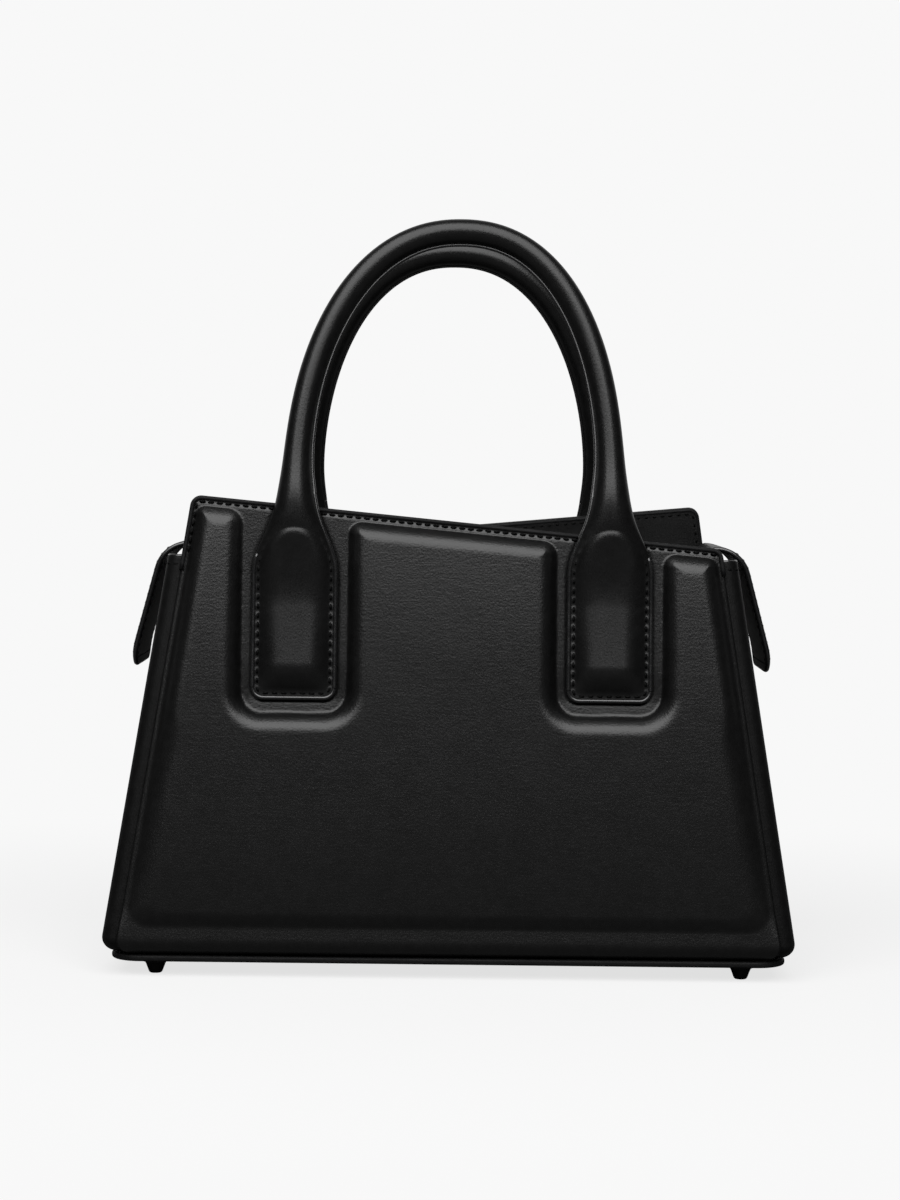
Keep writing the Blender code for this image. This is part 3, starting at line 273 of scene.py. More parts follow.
def tube_rings(points, radius, sides=10, first=None):
    """Rings of a tube along points, carried along without twist."""
    points = np.asarray(points)
    along = unit(np.gradient(points, axis=0))
    side = first if first is not None else np.cross(along[0], AXIS_Z)
    if np.linalg.norm(side) < 1e-6:
        side = AXIS_Y
    angle = 2 * math.pi * np.arange(sides) / sides
    rings = []
    for place, forward, size in zip(points, along, np.broadcast_to(radius, len(points))):
        side = side - forward * np.dot(side, forward)
        side = side / np.linalg.norm(side)
        other = np.cross(forward, side)
        rings.append(place + size * (np.outer(np.cos(angle), side) + np.outer(np.sin(angle), other)))
    return np.array(rings)


def tube_part(rings):
    """Verts and faces of the wall through closed rings of points."""
    count, sides = rings.shape[:2]
    faces = []
    for i in range(count - 1):
        low = i * sides + np.arange(sides)
        high = low + sides
        faces += np.stack([low, np.roll(low, -1), np.roll(high, -1), high], axis=-1).tolist()
    return rings.reshape(-1, 3), faces


def capped_part(rings):
    """Verts and faces of a wall through rings whose ends are closed round a middle point."""
    rings = np.asarray(rings)
    count, sides = rings.shape[:2]
    verts, faces = tube_part(rings)
    verts = np.concatenate([verts, [rings[0].mean(axis=0), rings[-1].mean(axis=0)]])
    middle = count * sides
    last = middle - sides
    faces += [[(k + 1) % sides, k, middle] for k in range(sides)]
    faces += [[last + k, last + (k + 1) % sides, middle + 1] for k in range(sides)]
    return verts, faces


def lofted(name, rings, finishes):
    """A piece through closed rings of points, with flat ends."""
    rings = np.asarray(rings)
    count, sides = rings.shape[:2]
    verts, faces = tube_part(rings)
    faces.append(list(range(sides))[::-1])
    faces.append(list(range((count - 1) * sides, count * sides)))
    return mesh_piece(name, verts, faces, finishes)


def joined(name, parts, finishes):
    """One piece from several (verts, faces) pairs."""
    verts = []
    faces = []
    start = 0
    for part_verts, part_faces in parts:
        verts.append(part_verts)
        faces += [[v + start for v in face] for face in part_faces]
        start += len(part_verts)
    return mesh_piece(name, np.concatenate(verts), faces, finishes)


STITCH_PITCH = 0.0034
STITCH_LENGTH = 0.0026
STITCH_RADIUS = 0.00048
STITCH_INSET = 0.0021
STITCH_RINGS = 7
STITCH_SIDES = 7


def stitch_places(points, pitch):
    """Places at an even pitch along a line, and the line's directions there."""
    along = run_along(points)
    count = max(int(along[-1] / pitch), 1)
    margin = (along[-1] - count * pitch) / 2
    places = margin + pitch * (np.arange(count) + 0.5)

    def at(shift):
        return np.stack([np.interp(places + shift, along, points[:, k]) for k in range(3)], axis=-1)

    return zip(at(0.0), unit(at(pitch / 4) - at(-pitch / 4)))


def stitching(name, lines, body, turned=False, pitch=STITCH_PITCH, sink=0.0):
    """Thread stitches along lines of (points, outward direction), their ends sunk in the leather."""
    draw = random.Random(name)
    angle = 2 * math.pi * np.arange(STITCH_SIDES) / STITCH_SIDES
    parts = []
    for points, out in lines:
        for place, forward in stitch_places(points, pitch):
            place = place - out * sink
            side = unit(np.cross(forward, out))
            lift = unit(np.cross(side, forward))
            forward = unit(forward + side * draw.uniform(-0.09, 0.09))
            length = STITCH_LENGTH * draw.uniform(0.93, 1.04)
            rings = []
            for share in np.linspace(-1.0, 1.0, STITCH_RINGS):
                width = STITCH_RADIUS * math.sqrt(max(1.0 - 0.86 * share ** 4, 0.05))
                centre = place + forward * (share * length / 2)
                centre = centre + lift * STITCH_RADIUS * (0.45 - 1.15 * share ** 2)
                rings.append(centre + width * (np.outer(np.cos(angle), side)
                                               + 0.8 * np.outer(np.sin(angle), lift)))
            parts.append(tube_part(np.array(rings)))
    placed(joined(name, parts, [THREAD]), body, turned=turned)


def cloth_piece(name, grid, thickness, finish, body, node, turned=False):
    """A sheet of cloth, given its body and standing in for its solid."""
    piece = placed(skin(name, grid, thickness, [finish] * 3), body, [node], turned)


# Finishes


class Finish:
    """A node material under construction."""

    def __init__(self, name):
        self.material = bpy.data.materials.new(name)
        self.material.use_nodes = True
        self.tree = self.material.node_tree
        self.shader = self.tree.nodes["Principled BSDF"]
        self.place = self.node("ShaderNodeTexCoord").outputs["Object"]

    def node(self, kind, **inputs):
        made = self.tree.nodes.new(kind)
        for name, value in inputs.items():
            made.inputs[name.replace("_", " ").title()].default_value = value
        return made

    def link(self, source, target):
        self.tree.links.new(source, target)

    def scaled(self, scale):
        made = self.node("ShaderNodeMapping", scale=scale)
        self.link(self.place, made.inputs["Vector"])
        return made.outputs["Vector"]

    def noise(self, scale, detail=2.0, stretch=None, roughness=0.5):
        made = self.node("ShaderNodeTexNoise", scale=scale, detail=detail, roughness=roughness)
        self.link(self.scaled(stretch) if stretch else self.place, made.inputs["Vector"])
        return made.outputs["Fac"]

    def cells(self, scale):
        made = self.node("ShaderNodeTexVoronoi", scale=scale)
        made.feature = "SMOOTH_F1"
        made.inputs["Smoothness"].default_value = 0.35
        self.link(self.place, made.inputs["Vector"])
        return made.outputs["Distance"]

    def ribs(self, direction, scale, distortion=0.0):
        made = self.node("ShaderNodeTexWave", scale=scale, distortion=distortion)
        made.bands_direction = direction
        self.link(self.place, made.inputs["Vector"])
        return made

    def mapped(self, source, low, high, to_low, to_high):
        made = self.node("ShaderNodeMapRange", from_min=low, from_max=high, to_min=to_low, to_max=to_high)
        made.interpolation_type = "SMOOTHSTEP"
        self.link(source, made.inputs["Value"])
        return made.outputs["Result"]

    def mix(self, factor, low, high):
        made = self.node("ShaderNodeMix")
        made.data_type = "RGBA"
        made.inputs[6].default_value = (*low, 1.0)
        made.inputs[7].default_value = (*high, 1.0)
        self.link(factor, made.inputs[0])
        return made.outputs[2]

    def maths(self, operation, first, second):
        made = self.node("ShaderNodeMath")
        made.operation = operation
        for socket, value in zip(made.inputs, (first, second)):
            if hasattr(value, "links"):
                self.link(value, socket)
            else:
                socket.default_value = value
        return made.outputs["Value"]

    def bump(self, height, strength, distance, after=None):
        made = self.node("ShaderNodeBump", strength=strength, distance=distance)
        self.link(height, made.inputs["Height"])
        if after is not None:
            self.link(after, made.inputs["Normal"])
        return made.outputs["Normal"]

    def set(self, socket, value):
        self.shader.inputs[socket].default_value = value

    def feed(self, source, socket):
        self.link(source, self.shader.inputs[socket])


def leather(name, rough=0.34, grain=0.20, crease=0.45, wear=0.3, spec=0.5):
    """Smooth black leather: pebbled pores, faint drawn creases and slightly worn edges."""
    f = Finish(name)
    pores = f.cells(1150.0)
    fine = f.noise(2600.0, 3.0)
    soft = f.noise(85.0, 3.0)
    lines = f.noise(60.0, 4.0, (2.2, 1.0, 13.0), 0.60)
    folds = f.mapped(lines, 0.40, 0.60, 0.0, 1.0)
    normal = f.bump(f.maths("ADD", pores, f.maths("MULTIPLY", fine, 0.6)), grain, 0.00022)
    normal = f.bump(folds, 0.16 * crease, 0.00018, normal)
    normal = f.bump(soft, 0.02, 0.0016, normal)
    f.feed(normal, "Normal")
    edges = f.node("ShaderNodeNewGeometry").outputs["Pointiness"]
    worn = f.mapped(edges, 0.53, 0.64, 0.0, wear)
    tone = f.maths("MAXIMUM", f.mapped(f.noise(300.0, 3.0), 0.35, 0.70, 0.0, 0.7), worn)
    f.feed(f.mix(tone, (0.0034, 0.0034, 0.0034), (0.0058, 0.0058, 0.0059)), "Base Color")
    f.feed(f.maths("ADD", f.mapped(fine, 0.3, 0.7, rough - 0.05, rough + 0.05),
                   f.mapped(soft, 0.3, 0.7, -0.01, 0.01)), "Roughness")
    f.set("Specular IOR Level", spec)
    return f.material


def edge_paint(name, rough, coat, spec=0.5):
    """Black edge paint with a slightly uneven coat."""
    f = Finish(name)
    soft = f.noise(240.0, 3.0)
    f.feed(f.bump(soft, 0.22, 0.0004), "Normal")
    f.feed(f.mix(f.noise(500.0, 2.0), (0.0060, 0.0060, 0.0063), (0.0110, 0.0110, 0.0114)), "Base Color")
    f.feed(f.mapped(soft, 0.3, 0.7, rough - 0.05, rough + 0.08), "Roughness")
    f.set("Coat Weight", coat)
    f.set("Coat Roughness", 0.18)
    f.set("Specular IOR Level", spec)
    return f.material


def thread(name):
    """Twisted waxed thread."""
    f = Finish(name)
    twist = f.ribs("DIAGONAL", 900.0, 0.6).outputs["Fac"]
    f.feed(f.bump(twist, 0.5, 0.00015), "Normal")
    f.feed(f.mix(f.noise(700.0), (0.0007, 0.0007, 0.0008), (0.0018, 0.0018, 0.0019)), "Base Color")
    f.feed(f.mapped(twist, 0.0, 1.0, 0.62, 0.50), "Roughness")
    f.set("Specular IOR Level", 0.10)
    return f.material


def cloth(name, dark, light, scale):
    """Woven cloth: two crossed sets of ribs with slight slubs."""
    f = Finish(name)
    ribs = []
    for direction in ("X", "Z"):
        rib = f.ribs(direction, scale, 0.35)
        rib.inputs["Detail Scale"].default_value = 3.0
        ribs.append(rib.outputs["Fac"])
    weave = f.maths("MULTIPLY", *ribs)
    f.feed(f.bump(weave, 0.5, 0.0003), "Normal")
    slubs = f.mapped(f.noise(40.0), 0.3, 0.7, 0.0, 0.4)
    f.feed(f.mix(f.maths("ADD", f.maths("MULTIPLY", weave, 0.6), slubs), dark, light), "Base Color")
    f.feed(f.mapped(weave, 0.0, 1.0, 0.92, 0.78), "Roughness")
    f.set("Sheen Weight", 0.25)
    f.set("Sheen Roughness", 0.5)
    return f.material


def metal(name, dark, light, rough, metallic=1.0):
    """Plated metal with faint rubbed streaks."""
    f = Finish(name)
    streaks = f.noise(420.0, 4.0, (1.0, 1.0, 0.2))
    f.feed(f.mix(streaks, dark, light), "Base Color")
    f.feed(f.mapped(streaks, 0.3, 0.7, rough - 0.06, rough + 0.08), "Roughness")
    f.feed(f.bump(streaks, 0.06, 0.0002), "Normal")
    f.set("Metallic", metallic)
    return f.material


def board(name):
    """Pressed leather board: flecked fibres."""
    f = Finish(name)
    fibres = f.noise(900.0, 6.0, (1.0, 1.0, 0.35), 0.7)
    flecks = f.mapped(fibres, 0.35, 0.65, 0.0, 1.0)
    f.feed(f.mix(flecks, (0.12, 0.085, 0.055), (0.26, 0.20, 0.14)), "Base Color")
    f.feed(f.mapped(fibres, 0.3, 0.7, 0.78, 0.92), "Roughness")
    f.feed(f.bump(fibres, 0.3, 0.0003), "Normal")
    return f.material


def cord(name):
    """Twisted cotton cord."""
    f = Finish(name)
    strands = f.ribs("DIAGONAL", 220.0).outputs["Fac"]
    f.feed(f.mix(strands, (0.22, 0.20, 0.17), (0.42, 0.39, 0.34)), "Base Color")
    f.feed(f.mapped(strands, 0.0, 1.0, 0.95, 0.85), "Roughness")
    f.feed(f.bump(strands, 0.6, 0.0005), "Normal")
    return f.material


PANEL_LEATHER = leather("panel_leather")
# The end walls' leather is the panels' leather with its reflection turned well down. This dimmed copy
# paints shade on the bag's sides, and it is also used on the panels' rims and the side seams.
SHADED_GUSSET_LEATHER = leather("gusset_leather", rough=0.46, crease=0.1, spec=0.16)
FACING_LEATHER = leather("facing_leather", rough=0.38, crease=0.4)
HANDLE_LEATHER = leather("handle_leather", rough=0.32, grain=0.12, crease=0.04, spec=0.42)
BAND_LEATHER = leather("band_leather", rough=0.36, crease=0.2)
BASE_LEATHER = leather("base_leather", rough=0.50, grain=0.25, wear=0.4)
EDGE_PAINT = edge_paint("edge_paint", 0.25, 0.8)
BASE_PAINT = edge_paint("base_paint", 0.55, 0.0, 0.15)
THREAD = thread("thread")
LINING_CLOTH = cloth("lining_cloth", (0.014, 0.014, 0.016), (0.040, 0.040, 0.044), 420.0)
TAPE_CLOTH = cloth("tape_cloth", (0.008, 0.008, 0.009), (0.024, 0.024, 0.026), 520.0)
TEETH_METAL = metal("teeth_metal", (0.030, 0.030, 0.032), (0.060, 0.060, 0.064), 0.30)
SLIDER_METAL = metal("slider_metal", (0.030, 0.030, 0.032), (0.055, 0.055, 0.058), 0.24)
FOOT_METAL = metal("foot_metal", (0.012, 0.012, 0.013), (0.026, 0.026, 0.028), 0.26, 0.85)
WASHER_METAL = metal("washer_metal", (0.45, 0.45, 0.46), (0.62, 0.62, 0.63), 0.32)
BOARD = board("stiffener_board")
CORD = cord("cord_core")


# Walls


def wall_point(half, lean, depth, station):
    """Distance from the middle and height of a wall's surface, from station 0 at the seam to 1 above
    its rolled edge."""
    radius = ROLL_RADIUS - depth
    angle = math.pi / 2 - station * (math.pi / 2 + lean)
    return half - ROLL_RADIUS + radius * np.cos(angle), ROLL_CENTRE_Z - radius * np.sin(angle)


def side_distance(z, depth=0.0):
    start, start_z = wall_point(BODY_HALF_WIDTH, SIDE_LEAN, depth, 1.0)
    return start - (z - start_z) * math.tan(SIDE_LEAN)


def panel_distance(z, depth=0.0):
    start, start_z = wall_point(BODY_HALF_DEPTH, PANEL_LEAN, depth, 1.0)
    return start - (z - start_z) * math.tan(PANEL_LEAN)


def top_z(x, drop=0.0, below=0.0):
    return TOP_MIDDLE_Z - drop - x * math.tan(TOP_TILT) - below / math.cos(TOP_TILT)


def top_corner(sign, side_margin, drop=0.0, below=0.0):
    middle_z = top_z(0.0, drop, below)
    width = side_distance(middle_z) - GUSSET_BULGE - side_margin / math.cos(SIDE_LEAN)
    half = width / (1 - sign * math.tan(TOP_TILT) * math.tan(SIDE_LEAN))
    return sign * half, top_z(sign * half, drop, below)


ROLL_END_Y, ROLL_END_Z = wall_point(BODY_HALF_DEPTH, PANEL_LEAN, 0.0, 1.0)
PANEL_ORIGIN = np.array([0.0, -ROLL_END_Y, ROLL_END_Z])
TAB_CENTRE_X = side_distance(TOP_MIDDLE_Z) - GUSSET_BULGE - TAB_SIDE_INSET


def up_panel(z):
    return (z - ROLL_END_Z) / math.cos(PANEL_LEAN)


def on_panel(x, up, out):
    """Points given in the front panel's plane and out from it."""
    x, up, out = np.broadcast_arrays(x, up, out)
    return PANEL_ORIGIN + x[..., None] * AXIS_X + up[..., None] * UP + out[..., None] * OUT


TAB_BOTTOM_UP = up_panel(TOP_MIDDLE_Z) - TAB_DROP
HINGE_UP = up_panel(TOP_MIDDLE_Z) + NECK_RISE
NECK_UP = HINGE_UP - TAB_BOTTOM_UP


def tab_half_widths(up):
    """Half width of a tab at places above its lower edge, its lower corners left square."""
    share = ease((up - TAB_SHOULDER_RISE) / (NECK_UP - TAB_SHOULDER_RISE))
    return TAB_HALF_WIDTH + (NECK_HALF_WIDTH - TAB_HALF_WIDTH) * share


# Padded relief of a panel. A fade is the run and the power of the rise from a border
FIELD_RAISE = 0.0038
FIELD_SIDE_MARGIN = 0.0026
FIELD_TOP_MARGIN = 0.0036
FIELD_BASE_MARGIN = 0.0118
FIELD_CORNER_RADIUS = 0.0055
CORNER_SOFT = 0.0034
BASE_CORNER_SOFT = 0.0090
BASE_CORNERS_END = 0.080
RECESS_CORNER_RADIUS = 0.0085
RECESS_SIDE_MARGIN = 0.0045
RECESS_BASE_MARGIN = 0.0054
TOP_FADE = (0.0076, 2.0)
RECESS_FADE = (0.0088, 2.8)
RECESS_BASE_FADE = (0.0085, 2.6)
SIDE_FADE = (0.0125, 2.3)
BASE_FADE = (0.0052, 1.7)
FADE_MIX = 0.0030
FADE_REACH = (-0.03, 0.004)
CROWN = 0.0021
CROWN_UP = 0.100
CROWN_REACH = 0.092
BASE_FALL = 0.0018
BASE_FALL_REACH = 0.022
BLOCK_FALL = 0.0009
BLOCK_FALL_START = 0.085
BLOCK_FALL_RUN = 0.080
BLOCK_RUN = 0.012
SCOOP = 0.00042
SCOOP_RUN = 0.0150
EDGE_GROOVE = 0.00036
EDGE_GROOVE_WIDTH = 0.0009
EDGE_GROOVE_INSET = 0.0017
SIDE_CURL = 0.00120
SIDE_CURL_WIDTH = 0.0026
SIDE_CURL_START = 0.0140
TAB_DENT = 0.00040
TAB_DENT_WIDTH = 0.0009


def round_max(a, b, radius):
    """The larger of two signed distances, with the corner between them rounded."""
    return np.minimum(np.maximum(a, b), -radius) + np.hypot(np.maximum(a + radius, 0.0),
                                                            np.maximum(b + radius, 0.0))


def pressed(share, power):
    """A pressed border's rise: a crisp foot that fades into the padded top."""
    return 1 - (1 - np.clip(share, 0.0, 1.0)) ** power


def relief(x, up, drop):
    """Height of the padded field above the panel's plane."""
    z = ROLL_END_Z + up * math.cos(PANEL_LEAN)
    below_top = (top_z(x, drop) - z) * math.cos(TOP_TILT)
    beside = (side_distance(z) - GUSSET_BULGE - np.abs(x)) * math.cos(SIDE_LEAN)
    top = FIELD_TOP_MARGIN - below_top
    base = SEAM_Z + FIELD_BASE_MARGIN - z
    side = FIELD_SIDE_MARGIN - beside
    soft = np.where(up < BASE_CORNERS_END, BASE_CORNER_SOFT, CORNER_SOFT)
    field = round_max(np.maximum(top, base), side, soft)
    width = TAB_HALF_WIDTH + RECESS_SIDE_MARGIN
    recess_up = TAB_BOTTOM_UP - drop - RECESS_BASE_MARGIN
    off_tab = np.abs(x) - TAB_CENTRE_X
    away = np.abs(off_tab) - width
    recess = round_max(away, recess_up - up, RECESS_CORNER_RADIUS)
    inside = -round_max(field, -recess, FIELD_CORNER_RADIUS)
    borders = ((top, TOP_FADE), (base, BASE_FADE), (side, SIDE_FADE), (-away, RECESS_FADE),
               (up - recess_up, RECESS_BASE_FADE))
    weights = [np.exp(np.clip(distance, *FADE_REACH) / FADE_MIX) for distance, _ in borders]
    weights[3] = np.where(up > recess_up, weights[3], 0.0)
    weights[4] = np.where(np.abs(away) < width * 2, weights[4], 0.0)
    total = sum(weights) + 1e-9
    run = sum(w * fade[0] for w, (_, fade) in zip(weights, borders)) / total
    power = sum(w * fade[1] for w, (_, fade) in zip(weights, borders)) / total
    rise = pressed(inside / run, power)

    # The padded top: crowned, lower near the base and tilted back on the blocks beyond the tabs
    crown = CROWN * np.maximum(1 - ((up - CROWN_UP) / CROWN_REACH) ** 2, 0.0)
    fall = BASE_FALL * np.exp(-np.maximum(-base, 0.0) / BASE_FALL_REACH)
    beyond_tab = ease((off_tab - BLOCK_RUN) / BLOCK_RUN)
    tilt = BLOCK_FALL * np.maximum((up - BLOCK_FALL_START) / BLOCK_FALL_RUN, 0.0) ** 2 * beyond_tab
    height = (FIELD_RAISE + crown - fall - tilt) * rise

    # The pressed ground: scooped below a tab, grooved along the top and curled under at the sides
    ground = 1 - rise
    low = up - recess_up
    scoop = np.where(low < RECESS_BASE_MARGIN, low / RECESS_BASE_MARGIN,
                     1 - ease((low - RECESS_BASE_MARGIN) / SCOOP_RUN))
    height -= SCOOP * np.clip(scoop, 0.0, 1.0) * ground * (recess < 0)
    height -= EDGE_GROOVE * np.exp(-((below_top - EDGE_GROOVE_INSET) / EDGE_GROOVE_WIDTH) ** 2) * ground
    curl = np.exp(-np.maximum(beside, 0.0) / SIDE_CURL_WIDTH)
    height -= SIDE_CURL * curl * ground * ease(up / SIDE_CURL_START)
    tab_up = up - TAB_BOTTOM_UP + drop
    beyond = round_max(np.abs(off_tab) - tab_half_widths(tab_up), -tab_up, TAB_CORNER_RADIUS)
    height -= TAB_DENT * np.exp(-(np.maximum(beyond, 0.0) / TAB_DENT_WIDTH) ** 2)
    return height


PANEL_COLUMNS = 300
PANEL_ROWS = 180
TOP_ROWS = 44
TOP_ROWS_SHARE = 0.93
ROLL_ROWS = 16
PANEL_WAVE_RISE = 0.002


def corner_normals(sign):
    """Outward directions of a wall's top and of its side, on the wall's plane."""
    return (math.tan(TOP_TILT), 1.0), (float(sign), math.tan(SIDE_LEAN))


def rounded_corner(x, up, corner, normals, radius):
    """Draws points that lie outside a corner's arc onto it."""
    a, b = (unit(np.asarray(n)) for n in normals)
    bisector = unit(a + b)
    reach = radius / np.dot(a, bisector)
    centre = np.asarray(corner) - bisector * reach
    offset = np.stack([x - centre[0], up - centre[1]], axis=-1)
    length = np.linalg.norm(offset, axis=-1)
    outside = (offset @ a > 0) & (offset @ b > 0) & (length > radius)
    scale = np.where(outside, radius / np.maximum(length, 1e-9), 1.0)
    return centre[0] + offset[..., 0] * scale, centre[1] + offset[..., 1] * scale


def wall_outline(shares, inset, drop):
    """Rows by columns of x and up on the flat part of a panel, drawn in by inset."""
    base_half = wall_point(BODY_HALF_WIDTH, SIDE_LEAN, 0.0, 1.0)[0] - GUSSET_BULGE - inset
    left = top_corner(-1, inset, drop, inset)
    right = top_corner(1, inset, drop, inset)
    across = np.linspace(-1.0, 1.0, PANEL_COLUMNS)
    mixed = (across + 1) / 2
    top_x = left[0] + (right[0] - left[0]) * mixed
    top_up = up_panel(left[1] + (right[1] - left[1]) * mixed)
    x = across * base_half + (top_x - across * base_half) * shares[:, None]
    up = top_up * shares[:, None]
    for sign, corner in ((-1, left), (1, right)):
        x, up = rounded_corner(x, up, (corner[0], up_panel(corner[1])), corner_normals(sign),
                               PANEL_CORNER_RADIUS - inset)
    return x, up


def make_panel(side):
    """Outer leather with its pressed relief and rolled lower edge, and its padding."""
    turned, drop = SIDES[side]
    inset = PANEL_THICKNESS / 2
    rows = []
    for station in np.linspace(0.0, 1.0, ROLL_ROWS, endpoint=False):
        y, z = wall_point(BODY_HALF_DEPTH, PANEL_LEAN, 0.0, station)
        half = wall_point(BODY_HALF_WIDTH, SIDE_LEAN, 0.0, station)[0] - GUSSET_BULGE - inset
        x = np.linspace(-half, half, PANEL_COLUMNS)
        rows.append(np.stack([x, np.full_like(x, -y), np.full_like(x, z)], axis=-1))
    shares = np.concatenate([np.linspace(0.0, TOP_ROWS_SHARE, PANEL_ROWS, endpoint=False),
                             np.linspace(TOP_ROWS_SHARE, 1.0, TOP_ROWS)])
    x, up = wall_outline(shares, inset, drop)
    height = relief(x, up, drop)
    height += waves(x, up, side, *PANEL_WAVES) * ease(height / PANEL_WAVE_RISE)
    grid = np.concatenate([np.array(rows), on_panel(x, up, height)])
    # The rim takes the dimmed leather that paints shade along the sides.
    panel = skin(side + "_panel_leather", grid, PANEL_THICKNESS, [PANEL_LEATHER, BOARD, SHADED_GUSSET_LEATHER])
    placed(panel, "bag", [side + "_panel", side + "_padding"], turned)


def wall_edge_line(side, inset):
    """Corners of a wall's free edge: up the left side, along the top and down the right side."""
    drop = SIDES[side][1]
    low = up_panel(GUSSET_TOP_Z - GUSSET_DIP)
    slope = math.tan(SIDE_LEAN) * math.cos(PANEL_LEAN)
    radius = PANEL_CORNER_RADIUS - inset
    steps = 8
    tops = []
    lows = []
    for sign in (-1, 1):
        x, z = top_corner(sign, inset, drop, inset)
        up = up_panel(z)
        tops.append((x, up))
        lows.append((x + sign * (up - low) * slope, low))
    points = [lows[0]]
    for i in (0, 1):
        here = np.array(tops[i])
        a = unit(np.array((lows[0], tops[0])[i]) - here)
        b = unit(np.array((tops[1], lows[1])[i]) - here)
        half = math.acos(np.clip(np.dot(a, b), -1, 1)) / 2
        centre = here + unit(a + b) * radius / math.sin(half)
        start = here + a * radius / math.tan(half) - centre
        end = here + b * radius / math.tan(half) - centre
        first = math.atan2(start[1], start[0])
        turn = math.atan2(start[0] * end[1] - start[1] * end[0], np.dot(start, end))
        for k in range(steps + 1):
            angle = first + turn * k / steps
            points.append((centre[0] + radius * math.cos(angle), centre[1] + radius * math.sin(angle)))
    points.append(lows[1])
    return np.array(points)


def dense_line(points, step):
    """The same line with points no further apart than step."""
    rows = [points[0]]
    for a, b in zip(points, points[1:]):
        count = max(int(math.ceil(np.linalg.norm(b - a) / step)), 1)
        rows += [a + (b - a) * k / count for k in range(1, count + 1)]
    return np.array(rows)


EDGE_SEGMENTS = 14
EDGE_STEP = 0.003
EDGE_LAP = 0.0002
TOP_EDGE_HALF_HEIGHT = 0.00095


def make_wall_edge(side):
    """Painted edge over all layers of a wall, along its free sides and top."""
    turned, drop = SIDES[side]
    line = dense_line(wall_edge_line(side, TOP_EDGE_HALF_HEIGHT * 0.6), EDGE_STEP)
    along = unit(np.gradient(line, axis=0))
    away = np.stack([-along[:, 1], along[:, 0]], axis=-1)
    middle = -WALL_DEPTH / 2
    rings = []
    for (x, up), (nx, nup) in zip(line, away):
        ring = []
        for k in range(EDGE_SEGMENTS):
            angle = 2 * math.pi * k / EDGE_SEGMENTS
            deep = (WALL_DEPTH / 2 + EDGE_LAP) * squared_off(math.cos(angle), 0.5)
            rise = TOP_EDGE_HALF_HEIGHT * squared_off(math.sin(angle), 0.8)
            ring.append(on_panel(x + nx * rise, up + nup * rise, middle + deep))
        rings.append(ring)
    placed(lofted(side + "_wall_edge", rings, [BASE_PAINT]), "bag", turned=turned)


SEAM_EDGE_RADIUS = 0.0017
SEAM_EDGE_DEPTH = 0.0033
SEAM_EDGE_OUT = 0.0003
SEAM_EDGE_RISE = 0.002


def make_side_seams(side):
    """Turned edges where a panel meets the end walls."""
    top_up = up_panel(GUSSET_TOP_Z - GUSSET_DIP) + SEAM_EDGE_RISE
    parts = []
    for sign in (-1.0, 1.0):
        points = []
        for station in np.linspace(0.05, 1.0, 12, endpoint=False):
            y, z = wall_point(BODY_HALF_DEPTH, PANEL_LEAN, SEAM_EDGE_DEPTH, station)
            half = wall_point(BODY_HALF_WIDTH, SIDE_LEAN, 0.0, station)[0] - GUSSET_BULGE + SEAM_EDGE_OUT
            points.append(np.array([sign * half, -y, z]))
        for up in np.linspace(0.0, top_up, 60):
            half = side_distance(ROLL_END_Z + up * math.cos(PANEL_LEAN)) - GUSSET_BULGE + SEAM_EDGE_OUT
            points.append(on_panel(sign * half, up, -SEAM_EDGE_DEPTH))
        parts.append(tube_part(tube_rings(points, SEAM_EDGE_RADIUS, 12)))
    # The seams take the dimmed leather that paints shade at the sides.
    made = joined(side + "_seam_edges", parts, [SHADED_GUSSET_LEATHER])
    placed(made, "bag", turned=SIDES[side][0])


WALL_STITCH_STEP = 0.002
WALL_STITCH_OVERRUN = 0.001
FACING_STITCH_SINK = 0.0003


def make_wall_stitches(side):
    """Stitches below the free edge, on the outer leather and on the facing."""
    turned = SIDES[side][0]
    line = dense_line(wall_edge_line(side, STITCH_INSET), WALL_STITCH_STEP)
    line = line[line[:, 1] > up_panel(GUSSET_TOP_Z) - WALL_STITCH_OVERRUN]
    outside = on_panel(line[:, 0], line[:, 1], 0.0)
    inside = on_panel(line[:, 0], line[:, 1], -WALL_DEPTH)
    stitching(side + "_wall_stitches", [(outside, OUT)], "bag", turned)
    stitching(side + "_facing_stitches", [(inside, -OUT)], "bag", turned,
              sink=FACING_STITCH_SINK)


FACING_ROWS = 26
FACING_COLUMNS = 160
FACING_SWELL_LIMIT = 0.00025


def make_facing(side):
    """Leather band inside a wall, slightly drawn where it was turned and sewn."""
    turned, drop = SIDES[side]
    inset = FACING_THICKNESS / 2
    bottom_half = side_distance(FACING_BOTTOM_Z) - GUSSET_BULGE - inset
    left = top_corner(-1, inset, drop, inset)
    right = top_corner(1, inset, drop, inset)
    mixed = np.linspace(0.0, 1.0, FACING_COLUMNS)
    shares = np.linspace(0.0, 1.0, FACING_ROWS)[:, None]
    low_x = np.linspace(-bottom_half, bottom_half, FACING_COLUMNS)
    low_z = FACING_BOTTOM_Z + inset
    x = low_x + (left[0] + (right[0] - left[0]) * mixed - low_x) * shares
    z = low_z + (left[1] + (right[1] - left[1]) * mixed - low_z) * shares
    for sign, corner in ((-1, left), (1, right)):
        x, z = rounded_corner(x, z, corner, corner_normals(sign), PANEL_CORNER_RADIUS - inset)
    up = up_panel(z)
    swell = waves(x * 0.45 + up, up * 1.6, side + "f", *FACING_WAVES)
    swell = np.minimum(swell * np.sin(math.pi * shares) ** 0.5, FACING_SWELL_LIMIT)
    grid = on_panel(x, up, -WALL_DEPTH + swell)[:, ::-1]
    facing = skin(side + "_facing_leather", grid, FACING_THICKNESS, [FACING_LEATHER, BOARD, EDGE_PAINT])
    placed(facing, "bag", [side + "_facing"], turned)


# Handles with their tabs

